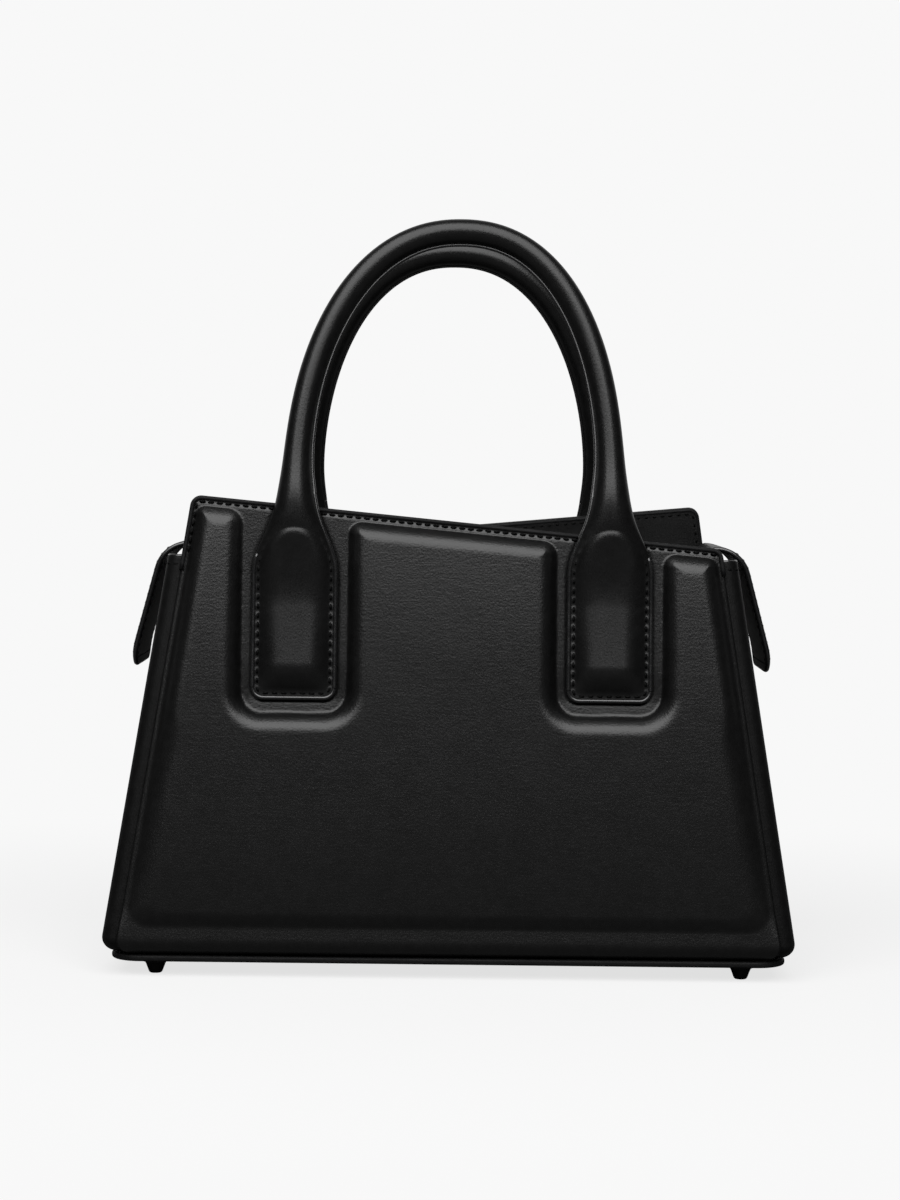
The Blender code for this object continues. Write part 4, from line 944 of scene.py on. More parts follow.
RING_FRONT = 56
RING_BACK = 26
PILL_MARGIN = 0.0027
PILL_BOTTOM = 0.0034
PILL_TOP = 0.0664
PILL_CAP = 0.0175
PILL_RAISE = (0.0031, 0.0009)
PILL_SIDE_FADE = (0.0096, 0.0024)
PILL_BOTTOM_FADE = (0.0105, 2.0)
PILL_POWER = 2.0
PILL_LEAN = 0.0024
PILL_LEAN_END = 0.048
TAB_LIFT = 0.0005
TAB_SQUARENESS = 8
BEND_START = 0.036
BEND_RUN = 0.040
PUCKER = 0.00015
PUCKER_PITCH = 0.0036
PUCKER_WIDTH = 0.0009
TAB_STITCH_INSET = 0.0022
NECK_BULGE = 0.0027
NECK_BLUR = 0.0055
NECK_ZONE = 0.0115
LOWEST_ROWS = (0.0, 0.0003, 0.0009, 0.0018, 0.0029, 0.0038)
TAB_ROW_STEP = 0.0006
ARCH_STEPS = 190
TURN_RUN = 0.020


def tab_half_width(up):
    """Half width of a tab at one place above its lower edge, with its lower corners rounded."""
    if up < TAB_CORNER_RADIUS:
        fall = TAB_CORNER_RADIUS - up
        arc = math.sqrt(max(TAB_CORNER_RADIUS ** 2 - fall ** 2, 0.0))
        return TAB_HALF_WIDTH - TAB_CORNER_RADIUS + arc
    return float(tab_half_widths(up))


def ring_shares():
    """Places round a section: across share, and whether it is on the front."""
    front = [(-math.cos(math.pi * k / RING_FRONT), True) for k in range(RING_FRONT + 1)]
    back = [(math.cos(math.pi * k / RING_BACK), False) for k in range(1, RING_BACK)]
    return front + back


RING_SHARES = ring_shares()


def tab_section(up):
    """Across and outward places of a tab's section, at a distance above its lower edge."""
    half = tab_half_width(up)
    bend = float(ease((up - BEND_START) / BEND_RUN))
    thick = NECK_THICKNESS / 2
    pill_half = TAB_HALF_WIDTH - PILL_MARGIN
    cap = max(up - PILL_TOP + PILL_CAP, 0.0) / PILL_CAP
    upper = float(ease((up - BEND_START) / (PILL_TOP - BEND_START)))
    low_end = float(pressed((up - PILL_BOTTOM) / PILL_BOTTOM_FADE[0], PILL_BOTTOM_FADE[1]))
    lean = PILL_LEAN * max(1 - up / PILL_LEAN_END, 0.0) ** 1.5
    height = low_end * (PILL_RAISE[0] + (PILL_RAISE[1] - PILL_RAISE[0]) * upper + lean)
    fade = PILL_SIDE_FADE[0] + (PILL_SIDE_FADE[1] - PILL_SIDE_FADE[0]) * upper
    wave = math.cos(2 * math.pi * up / PUCKER_PITCH) * (up > TAB_CORNER_RADIUS) * (1 - bend)
    places = []
    for share, front in RING_SHARES:
        u = share * half
        square = TAB_THICKNESS / 2 * max(1 - abs(share) ** TAB_SQUARENESS, 0.0) ** (1 / TAB_SQUARENESS)
        oval = thick * math.sqrt(max(1 - share ** 2, 0.0))
        sign = 1.0 if front else -1.0
        swell = NECK_BULGE * (1 - share ** 2) ** 0.75 if front else 0.0
        out = (TAB_THICKNESS / 2 + sign * square) * (1 - bend) + (thick + sign * oval + swell) * bend
        if front:
            out += TAB_LIFT * (1 - bend)
            inside = pill_half * (1 - math.hypot(u / pill_half, cap))
            out += height * float(pressed(inside / fade, PILL_POWER))
            line = math.exp(-((half - abs(u) - TAB_STITCH_INSET) / PUCKER_WIDTH) ** 2)
            out += PUCKER * wave * line
        places.append((u, FIT_GAP + out))
    return places


def arch_point(angle, skew):
    across = math.cos(angle)
    rise = math.sin(angle)
    x = -math.copysign(TAB_CENTRE_X * abs(across) ** (2 / ARCH_POWER), across)
    z = HANDLE_RISE * abs(rise) ** (2 / ARCH_POWER)
    return np.array([x + skew * (z / HANDLE_RISE) ** 2, 0.0, z])


def section_out(above_neck):
    """Outward direction of a section, which turns from the panel's to the handle's at the neck."""
    turn = float(ease((above_neck + TURN_RUN / 2) / TURN_RUN))
    return unit(OUT * (1 - turn) + LEAN_OUT * turn)


def tab_rings(x, across, ups, drop):
    """Sections of the tab at x, in the order of the given distances above its lower edge."""
    centre = NECK_THICKNESS / 2 + FIT_GAP
    rings = []
    for up in ups:
        out_axis = section_out(up - NECK_UP)
        pivot = on_panel(x, TAB_BOTTOM_UP - drop + up, 0.0) + OUT * centre
        rings.append([pivot + across * u + out_axis * (out - centre) for u, out in tab_section(up)])
    return rings


def arch_rings(hinge, skew):
    """Sections of the rolled handle, from the left neck over the arch to the right one."""
    angles = [math.pi * (1 - math.cos(math.pi * k / ARCH_STEPS)) / 2 for k in range(ARCH_STEPS + 1)]
    path = [arch_point(angle, skew) for angle in angles]
    rings = []
    for i, point in enumerate(path):
        forward = unit(path[min(i + 1, ARCH_STEPS)] - path[max(i - 1, 0)])
        if i in (0, ARCH_STEPS):
            forward = AXIS_Z if i == 0 else -AXIS_Z
        fade = math.exp(-point[2] / NECK_FADE)
        wide = HANDLE_RADIUS + (NECK_HALF_WIDTH - HANDLE_RADIUS) * fade
        thick = HANDLE_RADIUS + (NECK_THICKNESS / 2 - HANDLE_RADIUS) * fade
        out_axis = section_out(point[2])
        place = hinge + AXIS_X * point[0] + LEAN_UP * point[2]
        across = AXIS_X * forward[2] + LEAN_UP * -forward[0]
        ring = []
        for share, front in RING_SHARES:
            out = (1 if front else -1) * thick * math.sqrt(max(1 - share ** 2, 0.0))
            out += NECK_BULGE * fade * (1 - share ** 2) ** 0.75 if front else 0.0
            ring.append(place + across * share * wide + out_axis * out)
        rings.append(ring)
    return rings


def eased_necks(rings, tab_count):
    """Averages the sections along the leather where the tabs run into the handle."""
    places = run_along(rings.mean(axis=1))
    shares = np.gradient(places)
    weights = np.exp(-((places[:, None] - places[None, :]) / NECK_BLUR) ** 2) * shares[None, :]
    weights /= weights.sum(axis=1, keepdims=True)
    smooth = (weights @ rings.reshape(len(rings), -1)).reshape(rings.shape)
    necks = (places[tab_count], places[len(rings) - tab_count - 1])
    near = sum(np.exp(-((places - neck) / NECK_ZONE) ** 4) for neck in necks)[:, None, None]
    return rings * (1 - near) + smooth * near


BEAD_RADIUS = 0.00085
BEAD_FORWARD = 0.00065
BEAD_SINK_SHARE = 0.45
BEAD_SKIP = 6
SEAM_RADIUS = 0.00075
SEAM_OUT = 0.00025
SEAM_LEAD = 30
SEAM_FADE = 50
WRAP_LEAD = 42
WRAP_OVERRUN = 14
WRAP_EXTRA = 10
WRAP_SINK_SHARE = 0.9
WRAP_TAPER = 0.8
TAB_STITCH_TOP = TAB_SHOULDER_RISE + 0.0165
TAB_STITCH_STEP = 0.001


def blended(made, turned):
    """Turns a handle piece to its side and bakes its place into its mesh."""
    turned_round(made, turned)
    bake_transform(made)


def side_beads(rings, tab_count):
    """Painted side edges of the tabs. The inner one runs on as the handle's seam, the outer ones curl
    behind the necks."""
    count = len(rings)
    centre = rings.mean(axis=1)
    seam = rings[:, RING_FRONT]
    station = np.minimum(np.arange(count), np.arange(count)[::-1])
    on_arch = ease((station - tab_count + SEAM_LEAD) / SEAM_FADE)
    away = SEAM_OUT * on_arch - BEAD_RADIUS * BEAD_SINK_SHARE * (1 - on_arch)
    line = seam + unit(seam - centre) * away[:, None]
    line = line + OUT * (BEAD_FORWARD * (1 - on_arch))[:, None]
    radius = BEAD_RADIUS + (SEAM_RADIUS - BEAD_RADIUS) * on_arch
    kept = slice(BEAD_SKIP, count - BEAD_SKIP)
    parts = [tube_part(tube_rings(line[kept], radius[kept]))]
    for first, step in ((BEAD_SKIP, 1), (count - BEAD_SKIP - 1, -1)):
        outer = []
        for k in range(tab_count + WRAP_OVERRUN):
            i = first + step * k
            above = k + BEAD_SKIP - (tab_count - WRAP_LEAD)
            share = min(max(above / (WRAP_LEAD + WRAP_EXTRA), 0.0), 1.0)
            place = rings[i, -int(round(share * RING_BACK)) % len(RING_SHARES)]
            sink = BEAD_RADIUS * (BEAD_SINK_SHARE + WRAP_SINK_SHARE * share)
            outer.append(place - unit(place - centre[i]) * sink + OUT * (BEAD_FORWARD * (1 - share)))
        parts.append(tube_part(tube_rings(outer, np.linspace(1.0, WRAP_TAPER, len(outer)) * BEAD_RADIUS)))
    return parts


def bottom_beads(drop):
    """Painted edges round the lower ends of both tabs."""
    reach = TAB_HALF_WIDTH - TAB_CORNER_RADIUS
    radius = TAB_CORNER_RADIUS - BEAD_RADIUS * BEAD_SINK_SHARE
    quarter = [(-reach - radius * math.cos(angle), TAB_CORNER_RADIUS - radius * math.sin(angle))
               for angle in np.linspace(0.0, math.pi / 2, 9)]
    outline = quarter + [(-u, up) for u, up in reversed(quarter)]
    out = FIT_GAP + TAB_THICKNESS / 2 + BEAD_FORWARD
    parts = []
    for x, across in ((-TAB_CENTRE_X, 1.0), (TAB_CENTRE_X, -1.0)):
        points = [on_panel(x + across * u, TAB_BOTTOM_UP - drop + up, out) for u, up in outline]
        parts.append(tube_part(tube_rings(points, BEAD_RADIUS)))
    return parts


def make_handle(side):
    """Rolled handle and its two tabs as one piece of leather, with its painted edges."""
    turned, drop = SIDES[side]
    hinge = on_panel(0.0, HINGE_UP - drop, FIT_GAP + NECK_THICKNESS / 2)
    ups = np.concatenate([LOWEST_ROWS, np.arange(TAB_CORNER_RADIUS, NECK_UP, TAB_ROW_STEP)])
    rings = tab_rings(-TAB_CENTRE_X, AXIS_X, ups, drop)
    rings += arch_rings(hinge, ARCH_SKEWS[side])
    rings += tab_rings(TAB_CENTRE_X, -AXIS_X, ups[::-1], drop)
    rings = eased_necks(np.array(rings), len(ups))
    handle = lofted(side + "_handle_leather", rings, [HANDLE_LEATHER])
    blended(handle, turned)
    nodes = [side + "_handle"]
    for end in ("left", "right"):
        nodes += [f"{side}_{end}_handle_tab", f"{side}_{end}_tab_filler"]
    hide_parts(*nodes)
    parts = side_beads(rings, len(ups)) + bottom_beads(drop)
    blended(joined(side + "_handle_edges", parts, [EDGE_PAINT]), turned)


def tab_stitch_outline():
    """Across and up places of a tab's stitches, down one side and up the other."""
    inset = TAB_STITCH_INSET
    corner = TAB_CORNER_RADIUS - inset
    half_line = [(-tab_half_width(up) + inset, up)
                 for up in np.arange(TAB_STITCH_TOP, TAB_CORNER_RADIUS, -TAB_STITCH_STEP)]
    half_line += [(-TAB_HALF_WIDTH + inset + corner * (1 - math.cos(angle)),
                   inset + corner * (1 - math.sin(angle))) for angle in np.linspace(0.0, math.pi / 2, 6)]
    return half_line + [(-u, up) for u, up in reversed(half_line)]


def make_tab_stitches(side):
    """Stitches that hold both tabs of a handle to the panel."""
    turned, drop = SIDES[side]
    lines = []
    for x in (-TAB_CENTRE_X, TAB_CENTRE_X):
        points = []
        for u, up in tab_stitch_outline():
            bend = float(ease((up - BEND_START) / BEND_RUN))
            share = u / tab_half_width(max(up, TAB_CORNER_RADIUS))
            oval = NECK_THICKNESS / 2 * (1 + math.sqrt(max(1 - share ** 2, 0.0)))
            out = (TAB_THICKNESS + TAB_LIFT) * (1 - bend) + oval * bend
            points.append(on_panel(x + u, TAB_BOTTOM_UP - drop + up, FIT_GAP + out))
        lines.append((np.array(points), OUT))
    stitching(side + "_tab_stitches", lines, "bag", turned, PUCKER_PITCH)


# End walls, called gussets

GUSSET_FLANGE_STEPS = 5
GUSSET_CORNER_STEPS = 9
GUSSET_FLAT_COLUMNS = 60
GUSSET_ROLL_ROWS = 14
GUSSET_HOLLOW = 0.0010
GUSSET_FLAT_HALF = 0.045
GUSSET_STITCH_DROP = 0.0032


def gusset_top(share):
    return GUSSET_TOP_Z - GUSSET_DIP * ease((1 - abs(share)) * 2.4)


def gusset_place(station, share, depth, top_margin):
    """Side and panel distance with their heights. Stations run to 1 on the roll and to 2 at the top."""
    top = gusset_top(share) - top_margin
    roll = min(station, 1.0)
    x, x_z = wall_point(BODY_HALF_WIDTH, SIDE_LEAN, depth, roll)
    y, y_z = wall_point(BODY_HALF_DEPTH, PANEL_LEAN, FLANGE_DEPTH + depth, roll)
    if station > 1.0:
        rise = station - 1.0
        x -= rise * (top - x_z) * math.tan(SIDE_LEAN)
        y -= rise * (top - y_z) * math.tan(PANEL_LEAN)
        x_z += rise * (top - x_z)
        y_z += rise * (top - y_z)
    return x, y, x_z, y_z


def gusset_grid(depth, flange, top_margin, sag, rows=80):
    """Rows by columns of a channel's surface, from the front round to the back on the right end."""
    radius = GUSSET_CORNER_RADIUS - depth
    flange_steps = range(GUSSET_FLANGE_STEPS) if flange else ()
    roll = np.linspace(0.0, 1.0, GUSSET_ROLL_ROWS, endpoint=False)
    grid = []
    for station in np.concatenate([roll, 1.0 + np.linspace(0.0, 1.0, rows)]):
        x, y, x_z, y_z = gusset_place(station, 1.0, depth, top_margin)
        quarter = [(x - GUSSET_CORNER_RADIUS - flange * (1 - k / GUSSET_FLANGE_STEPS), -y, y_z)
                   for k in flange_steps]
        for k in range(GUSSET_CORNER_STEPS + 1):
            share = k / GUSSET_CORNER_STEPS
            angle = math.pi / 2 * share
            quarter.append((x - radius + radius * math.sin(angle),
                            -(y - radius + radius * math.cos(angle)), y_z + (x_z - y_z) * share))
        row = list(quarter)
        reach = y - radius
        for share in np.linspace(-1.0, 1.0, GUSSET_FLAT_COLUMNS)[1:-1]:
            flat_x, _, flat_z, _ = gusset_place(station, share, depth, top_margin)
            hollow = sag * math.cos(share * math.pi / 2) ** 2 * min(station, 1.0)
            row.append((flat_x - hollow, reach * share, flat_z))
        row += [(px, -py, pz) for px, py, pz in reversed(quarter)]
        grid.append(row)
    return np.array(grid)


def make_gusset(end, turned):
    """End wall of one bent piece, slightly hollow between its rolled edges."""
    flange = FLANGE_WIDTH + GUSSET_BULGE - GUSSET_CORNER_RADIUS
    grid = gusset_grid(0.0, flange, GUSSET_THICKNESS / 2, GUSSET_HOLLOW)
    wave = waves(grid[..., 1], grid[..., 2], end, *GUSSET_WAVES)
    inside = np.clip(1 - np.abs(grid[..., 1]) / GUSSET_FLAT_HALF, 0.0, 1.0)
    grid[..., 0] += wave * ease(inside * 2)
    # Its outer face is the dimmed leather that paints shade on the end walls.
    gusset = skin(end + "_gusset_leather", grid, GUSSET_THICKNESS, [SHADED_GUSSET_LEATHER, BOARD, EDGE_PAINT])
    placed(gusset, "bag", [end + "_gusset"], turned)
    line = grid[-1][np.abs(grid[-1, :, 1]) < GUSSET_FLAT_HALF] - AXIS_Z * GUSSET_STITCH_DROP
    line[:, 0] += GUSSET_STITCH_DROP * math.tan(SIDE_LEAN)
    out = np.array([math.cos(SIDE_LEAN), 0.0, math.sin(SIDE_LEAN)])
    stitching(end + "_gusset_stitches", [(line, out)], "bag", turned)


# Zip band

STRIP_HINGE_Y = panel_distance(STRIP_Z, WALL_DEPTH) - STRIP_EDGE_GAP - STRIP_THICKNESS / 2
END_TAB_HINGE_Z = GUSSET_TOP_Z + TAB_ARCH_RISE
TAB_ARCH_X = side_distance(GUSSET_TOP_Z) - TAB_ARCH_INSET
STRIP_HALF_LENGTH = TAB_ARCH_X - END_CLIMB_LENGTH - END_FLAT_LENGTH
ZIP_END_START = STRIP_HALF_LENGTH + FIT_GAP
ZIP_END_CLIMB = ZIP_END_START + END_FLAT_LENGTH
STRIP_BUMP_LIMIT = 0.00015
STRIP_STITCH_MARGINS = (0.0028, 0.0022)
STRIP_STITCH_END = 0.003
TEETH_END = 0.001
TOOTH_PITCH = 0.0022
TOOTH_SIDES = 8
TOOTH_SHARE = 0.95
TOOTH_SQUARENESS = 0.6
TOOTH_PROFILE = ((-0.5, 0.36, 0.62), (-0.42, 0.42, 0.86), (-0.2, 0.42, 1.0), (0.08, 0.34, 1.0),
                 (0.30, 0.46, 0.96), (0.44, 0.42, 0.84), (0.5, 0.26, 0.56))


def make_teeth(name, low_x, high_x, sign):
    """Cast zip teeth: a clasping root on the tape and a rounded head towards the middle."""
    parts = []
    middle = sign * (CHAIN_SPLIT + CHAIN_WIDTH / 2)
    for i in range(int((high_x - low_x) / TOOTH_PITCH)):
        x = low_x + TOOTH_PITCH * (i + 0.5)
        rings = []
        for along, half_x, height in TOOTH_PROFILE:
            y = middle - sign * along * CHAIN_WIDTH
            ring = []
            for k in range(TOOTH_SIDES):
                angle = 2 * math.pi * (k + 0.5) / TOOTH_SIDES
                across = squared_off(math.cos(angle), TOOTH_SQUARENESS)
                rise = squared_off(math.sin(angle), TOOTH_SQUARENESS)
                ring.append((x + half_x * TOOTH_PITCH * TOOTH_SHARE * across, y,
                             CHAIN_Z + height * CHAIN_HEIGHT / 2 * rise))
            rings.append(ring)
        parts.append(capped_part(rings))
    return joined(name, parts, [TEETH_METAL])


def make_strip(side):
    """Leather strip with its tape and single teeth."""
    turned = SIDES[side][0]
    body = side + "_strip"
    inset = STRIP_THICKNESS / 2
    level = STRIP_Z + STRIP_THICKNESS / 2
    xs = np.linspace(-STRIP_HALF_LENGTH + inset, STRIP_HALF_LENGTH - inset, 120)
    grid = flat_grid(xs, np.linspace(-STRIP_HINGE_Y - inset * 0.4, -STRIP_EDGE - inset, 26), level)
    bumps = waves(grid[..., 0], grid[..., 1], side + "s", *STRIP_WAVES)
    grid[..., 2] += np.minimum(bumps, STRIP_BUMP_LIMIT)
    strip = skin(body + "_leather", grid, STRIP_THICKNESS, [BAND_LEATHER, BOARD, EDGE_PAINT])
    placed(strip, body, [side + "_zip_strip"], turned)
    tape_ys = np.linspace(-STRIP_EDGE - TAPE_LAP, -CHAIN_SPLIT - CHAIN_WIDTH * 0.35, 12)
    tape_grid = flat_grid(xs, tape_ys, CHAIN_Z + TAPE_THICKNESS / 2)
    cloth_piece(side + "_tape_cloth", tape_grid, TAPE_THICKNESS, TAPE_CLOTH, body,
                side + "_zip_tape", turned)
    teeth_end = STRIP_HALF_LENGTH - TEETH_END
    teeth = make_teeth(side + "_teeth", -teeth_end, teeth_end, -1.0)
    placed(teeth, body, [side + "_zip_teeth"], turned)
    ends = STRIP_HALF_LENGTH - STRIP_STITCH_END
    lines = []
    for y in (-STRIP_EDGE - STRIP_STITCH_MARGINS[0], -STRIP_HINGE_Y + STRIP_STITCH_MARGINS[1]):
        lines.append((np.array([[-ends, y, level], [ends, y, level]]), AXIS_Z))
    stitching(body + "_stitches", lines, body, turned)


END_BLEND_AFTER = 0.005
END_STITCH_INSET = 0.0026
END_STITCH_SINK = 0.00034
BAND_COLUMNS = 44


def band_path():
    """Middle line of a zip end and its tab on the right: flat, up, over the wall and down to the tip."""
    half = END_THICKNESS / 2
    points = [(x, STRIP_Z) for x in np.linspace(ZIP_END_START + half, ZIP_END_CLIMB, 12)]
    run = TAB_ARCH_X - ZIP_END_CLIMB
    rise = END_TAB_HINGE_Z - STRIP_Z
    for share in np.linspace(0.0, 1.0, 9)[1:]:
        points.append((ZIP_END_CLIMB + run * share, STRIP_Z + rise * float(ease(share))))
    full = math.pi / 2 - TAB_HANG_LEAN
    for turn in np.linspace(0.0, full, 16)[1:]:
        points.append((TAB_ARCH_X + TAB_ARCH_RADIUS * math.sin(turn),
                       END_TAB_HINGE_Z - TAB_ARCH_RADIUS * (1 - math.cos(turn))))
    x, z = points[-1]
    for share in np.linspace(0.0, 1.0, 20)[1:]:
        fall = TAB_HANG_LENGTH * share
        points.append((x + fall * math.cos(full), z - fall * math.sin(full)))
    x, z = points[-1]
    centre_x = x - TAB_TUCK_RADIUS * math.sin(full)
    centre_z = z - TAB_TUCK_RADIUS * math.cos(full)
    for turn in np.linspace(full, math.pi / 2, 8)[1:]:
        points.append((centre_x + TAB_TUCK_RADIUS * math.sin(turn),
                       centre_z + TAB_TUCK_RADIUS * math.cos(turn)))
    x, z = points[-1]
    for share in np.linspace(0.0, 1.0, 6)[1:]:
        points.append((x, z - (TAB_END_LENGTH - half) * share))
    return np.array(points)


def band_grid(path):
    """Grid of a band over the path with round outer corners, its half widths and its normals."""
    along = run_along(path)
    left = along[-1] - along
    inset = END_THICKNESS / 2
    corner = TAB_END_CORNER_RADIUS - inset
    half = np.full(len(path), END_HALF_WIDTH - inset)
    near = left < corner
    fall = corner - left[near]
    half[near] += np.sqrt(np.maximum(corner ** 2 - fall ** 2, 0.0)) - corner
    tangent = unit(np.gradient(path, axis=0))
    normal = np.stack([-tangent[:, 1], tangent[:, 0]], axis=-1)
    surface = path + normal * inset
    shares = np.linspace(-1.0, 1.0, BAND_COLUMNS)[:, None]
    grid = np.stack(np.broadcast_arrays(surface[:, 0], shares * half, surface[:, 1]), axis=-1)
    return grid, half, normal


def make_band_end(end, turned):
    """End of the zip band and its loose tab as one strap that bends over the gusset."""
    path = band_path()
    if end == "left":
        path = path[path[:, 0] >= ZIP_END_CLIMB - 1e-9]
        path[0, 0] += END_THICKNESS / 2
    grid, half, normal = band_grid(path)
    grid[..., 2] += waves(grid[..., 1], grid[..., 2], end + "b", *BAND_END_WAVES) * 0.3
    strap = skin(end + "_band_end", grid, END_THICKNESS, [BAND_LEATHER, BAND_LEATHER, EDGE_PAINT])
    turned_round(strap, turned)
    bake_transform(strap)
    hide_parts(end + "_zip_end", end + "_end_tab")
    loose = path[:, 0] > TAB_ARCH_X + END_BLEND_AFTER
    make_end_stitches(end, turned, path[loose], half[loose], normal[loose])


def make_end_stitches(end, turned, path, half, normal):
    """Stitches round the loose tab, on its outer and its inner face."""
    length = np.linalg.norm(np.diff(path, axis=0), axis=1)
    left = np.concatenate([np.cumsum(length[::-1])[::-1], [0.0]])
    side_line = []
    for (x, z), (nx, nz), h, rest in zip(path, normal, half, left):
        if rest > END_STITCH_INSET:
            side_line.append((x + nx * END_THICKNESS / 2, h - END_STITCH_INSET + END_THICKNESS / 2,
                              z + nz * END_THICKNESS / 2))
    outer = np.array(side_line + [(px, -py, pz) for px, py, pz in reversed(side_line)])
    out = np.array([math.cos(TAB_HANG_LEAN), 0.0, math.sin(TAB_HANG_LEAN)])
    for tag, points, away in (("outer", outer, out), ("inner", outer - END_THICKNESS * out, -out)):
        stitching(f"{end}_end_tab_stitches_{tag}", [(points, away)], end + "_end_tab",
                  turned, sink=END_STITCH_SINK)


ROW_START = 0.0002
ROW_END = 0.0033
TAPE_OVERRUN = 0.003


def make_zip_start():
    """Rails beside the parked slider, the tape and the last teeth, at the left end."""
    inset = END_THICKNESS / 2
    xs = np.linspace(ZIP_END_START + inset, ZIP_END_CLIMB - inset * 0.2, 14)
    for name, low, high in (("zip_front_rail", STRIP_EDGE, END_HALF_WIDTH),
                            ("zip_back_rail", -END_HALF_WIDTH, -STRIP_EDGE)):
        grid = flat_grid(xs, np.linspace(low + inset, high - inset, 16), STRIP_Z + inset)
        rail = skin(name, grid, END_THICKNESS, [BAND_LEATHER, BOARD, EDGE_PAINT])
        placed(rail, "bag", turned=True)
    tape_grid = flat_grid(np.linspace(ZIP_END_START, ZIP_END_CLIMB + TAPE_OVERRUN, 20),
                          np.linspace(-STRIP_EDGE - TAPE_LAP, STRIP_EDGE + TAPE_LAP, 24),
                          CHAIN_Z + TAPE_THICKNESS / 2)
    cloth_piece("zip_end_tape_cloth", tape_grid, TAPE_THICKNESS, TAPE_CLOTH, "bag",
                "zip_end_tape", True)
    for name, sign in (("back", -1.0), ("front", 1.0)):
        row = make_teeth("zip_end_row_" + name, ZIP_END_START + ROW_START, ZIP_END_CLIMB - ROW_END, sign)
        placed(row, "bag", ["zip_end_teeth_" + name], True)


STOP_ROUNDING = 0.0004


def make_zip_stop():
    """The stop: a bar in its solid's place, with rounded edges."""
    (x0, y0, z0), (x1, y1, z1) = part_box("zip_stop")
    verts = np.array([(x, y, z) for z in (z0, z1) for y in (y0, y1) for x in (x0, x1)])
    faces = [(0, 2, 3, 1), (4, 5, 7, 6), (0, 1, 5, 4), (2, 6, 7, 3), (0, 4, 6, 2), (1, 3, 7, 5)]
    stop = mesh_piece("zip_stop_bar", verts, faces, [TEETH_METAL])
    bevel = stop.modifiers.new("rounding", "BEVEL")
    bevel.width = STOP_ROUNDING
    bevel.segments = 3
    bevel.limit_method = "ANGLE"
    placed(stop, "bag", ["zip_stop"])


def outline_plate(outline, low, high, round_over, steps=4):
    """Rings of a plate with round edges, given as (x, y) points anticlockwise."""
    outline = np.asarray(outline)
    along = unit(np.roll(outline, -1, axis=0) - np.roll(outline, 1, axis=0))
    away = np.stack([along[:, 1], -along[:, 0]], axis=-1)
    angles = [math.pi / 2 * k / steps for k in range(steps + 1)]
    places = [(angle, low, 1) for angle in angles] + [(angle, high, -1) for angle in reversed(angles)]
    rings = []
    for angle, level, sign in places:
        ring = outline - away * round_over * (1 - math.sin(angle))
        z = level + sign * round_over * (1 - math.cos(angle))
        rings.append(np.column_stack([ring, np.full(len(ring), z)]))
    return np.array(rings)


SLIDER_LENGTH = 0.0090
SLIDER_HALF_WIDTH = 0.0040
SLIDER_PLATE = 0.0010
SLIDER_STEPS = 44
SLIDER_WAIST = 0.24
PULLER_HALF_WIDTH = 0.0022
PULLER_THICKNESS = 0.0014
PULLER_START = 0.0034
PULLER_STITCH_START = 0.0012
PULLER_STITCH_PITCH = 0.0032
POST_RADIUS = 0.0006
POST_LAP = 0.0004
BRIDGE_RADIUS = 0.00045
BRIDGE_HALF_LENGTH = 0.0015
BRIDGE_CROWN = 0.0010
PIN_RADIUS = 0.0005
PIN_HALF_LENGTH = 0.0030
PIN_RISE = 0.0013
LINK_HALF_LENGTH = 0.00235
LINK_HALF_WIDTH = 0.00185
LINK_LAP = 0.0004
LINK_RADIUS = 0.00034
PLATE_REACH = CHAIN_HEIGHT / 2 + FIT_GAP
PIN_Z = CHAIN_Z + PLATE_REACH + SLIDER_PLATE + FIT_GAP + PIN_RISE


def box_middle(node):
    """Middle of a solid's box."""
    low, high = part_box(node)
    return (Vector(low) + Vector(high)) / 2


def slider_outline():
    """A boxy oval with a waist."""
    half = SLIDER_LENGTH / 2
    outline = []
    for k in range(SLIDER_STEPS):
        angle = 2 * math.pi * k / SLIDER_STEPS
        x = half * squared_off(math.cos(angle), 0.7)
        waist = 1.0 - SLIDER_WAIST * math.exp(-((x - half * 0.35) / (half * 0.55)) ** 2)
        outline.append((x, SLIDER_HALF_WIDTH * squared_off(math.sin(angle), 0.55) * waist))
    return outline


def make_slider():
    """Slider with waisted plates, and a bridge and a pin for the puller."""
    x = box_middle("zip_slider").x
    parts = []
    for base in (CHAIN_Z + PLATE_REACH, CHAIN_Z - PLATE_REACH - SLIDER_PLATE):
        rings = outline_plate(slider_outline(), base, base + SLIDER_PLATE, SLIDER_PLATE * 0.42)
        rings[..., 0] += x
        parts.append(capped_part(rings))
    post = [(x, 0.0, CHAIN_Z - PLATE_REACH - POST_LAP), (x, 0.0, CHAIN_Z + PLATE_REACH + POST_LAP)]
    parts.append(capped_part(tube_rings(post, POST_RADIUS, first=AXIS_X)))
    base_z = CHAIN_Z + PLATE_REACH + SLIDER_PLATE * 0.4
    for sign in (-1.0, 1.0):
        y = sign * (PULLER_HALF_WIDTH + FIT_GAP + BRIDGE_RADIUS)
        arch = []
        for a in np.linspace(0.0, math.pi, 13):
            rise = (PIN_Z + BRIDGE_CROWN - base_z) * math.sin(a) ** 0.7
            arch.append((x - BRIDGE_HALF_LENGTH * math.cos(a), y, base_z + rise))
        parts.append(capped_part(tube_rings(arch, BRIDGE_RADIUS, 8, first=AXIS_Y)))
    pin = [(x, -PIN_HALF_LENGTH, PIN_Z), (x, PIN_HALF_LENGTH, PIN_Z)]
    parts.append(capped_part(tube_rings(pin, PIN_RADIUS, 14, first=AXIS_X)))
    placed(joined("slider_body", parts, [SLIDER_METAL]), "slider", ["zip_slider"])


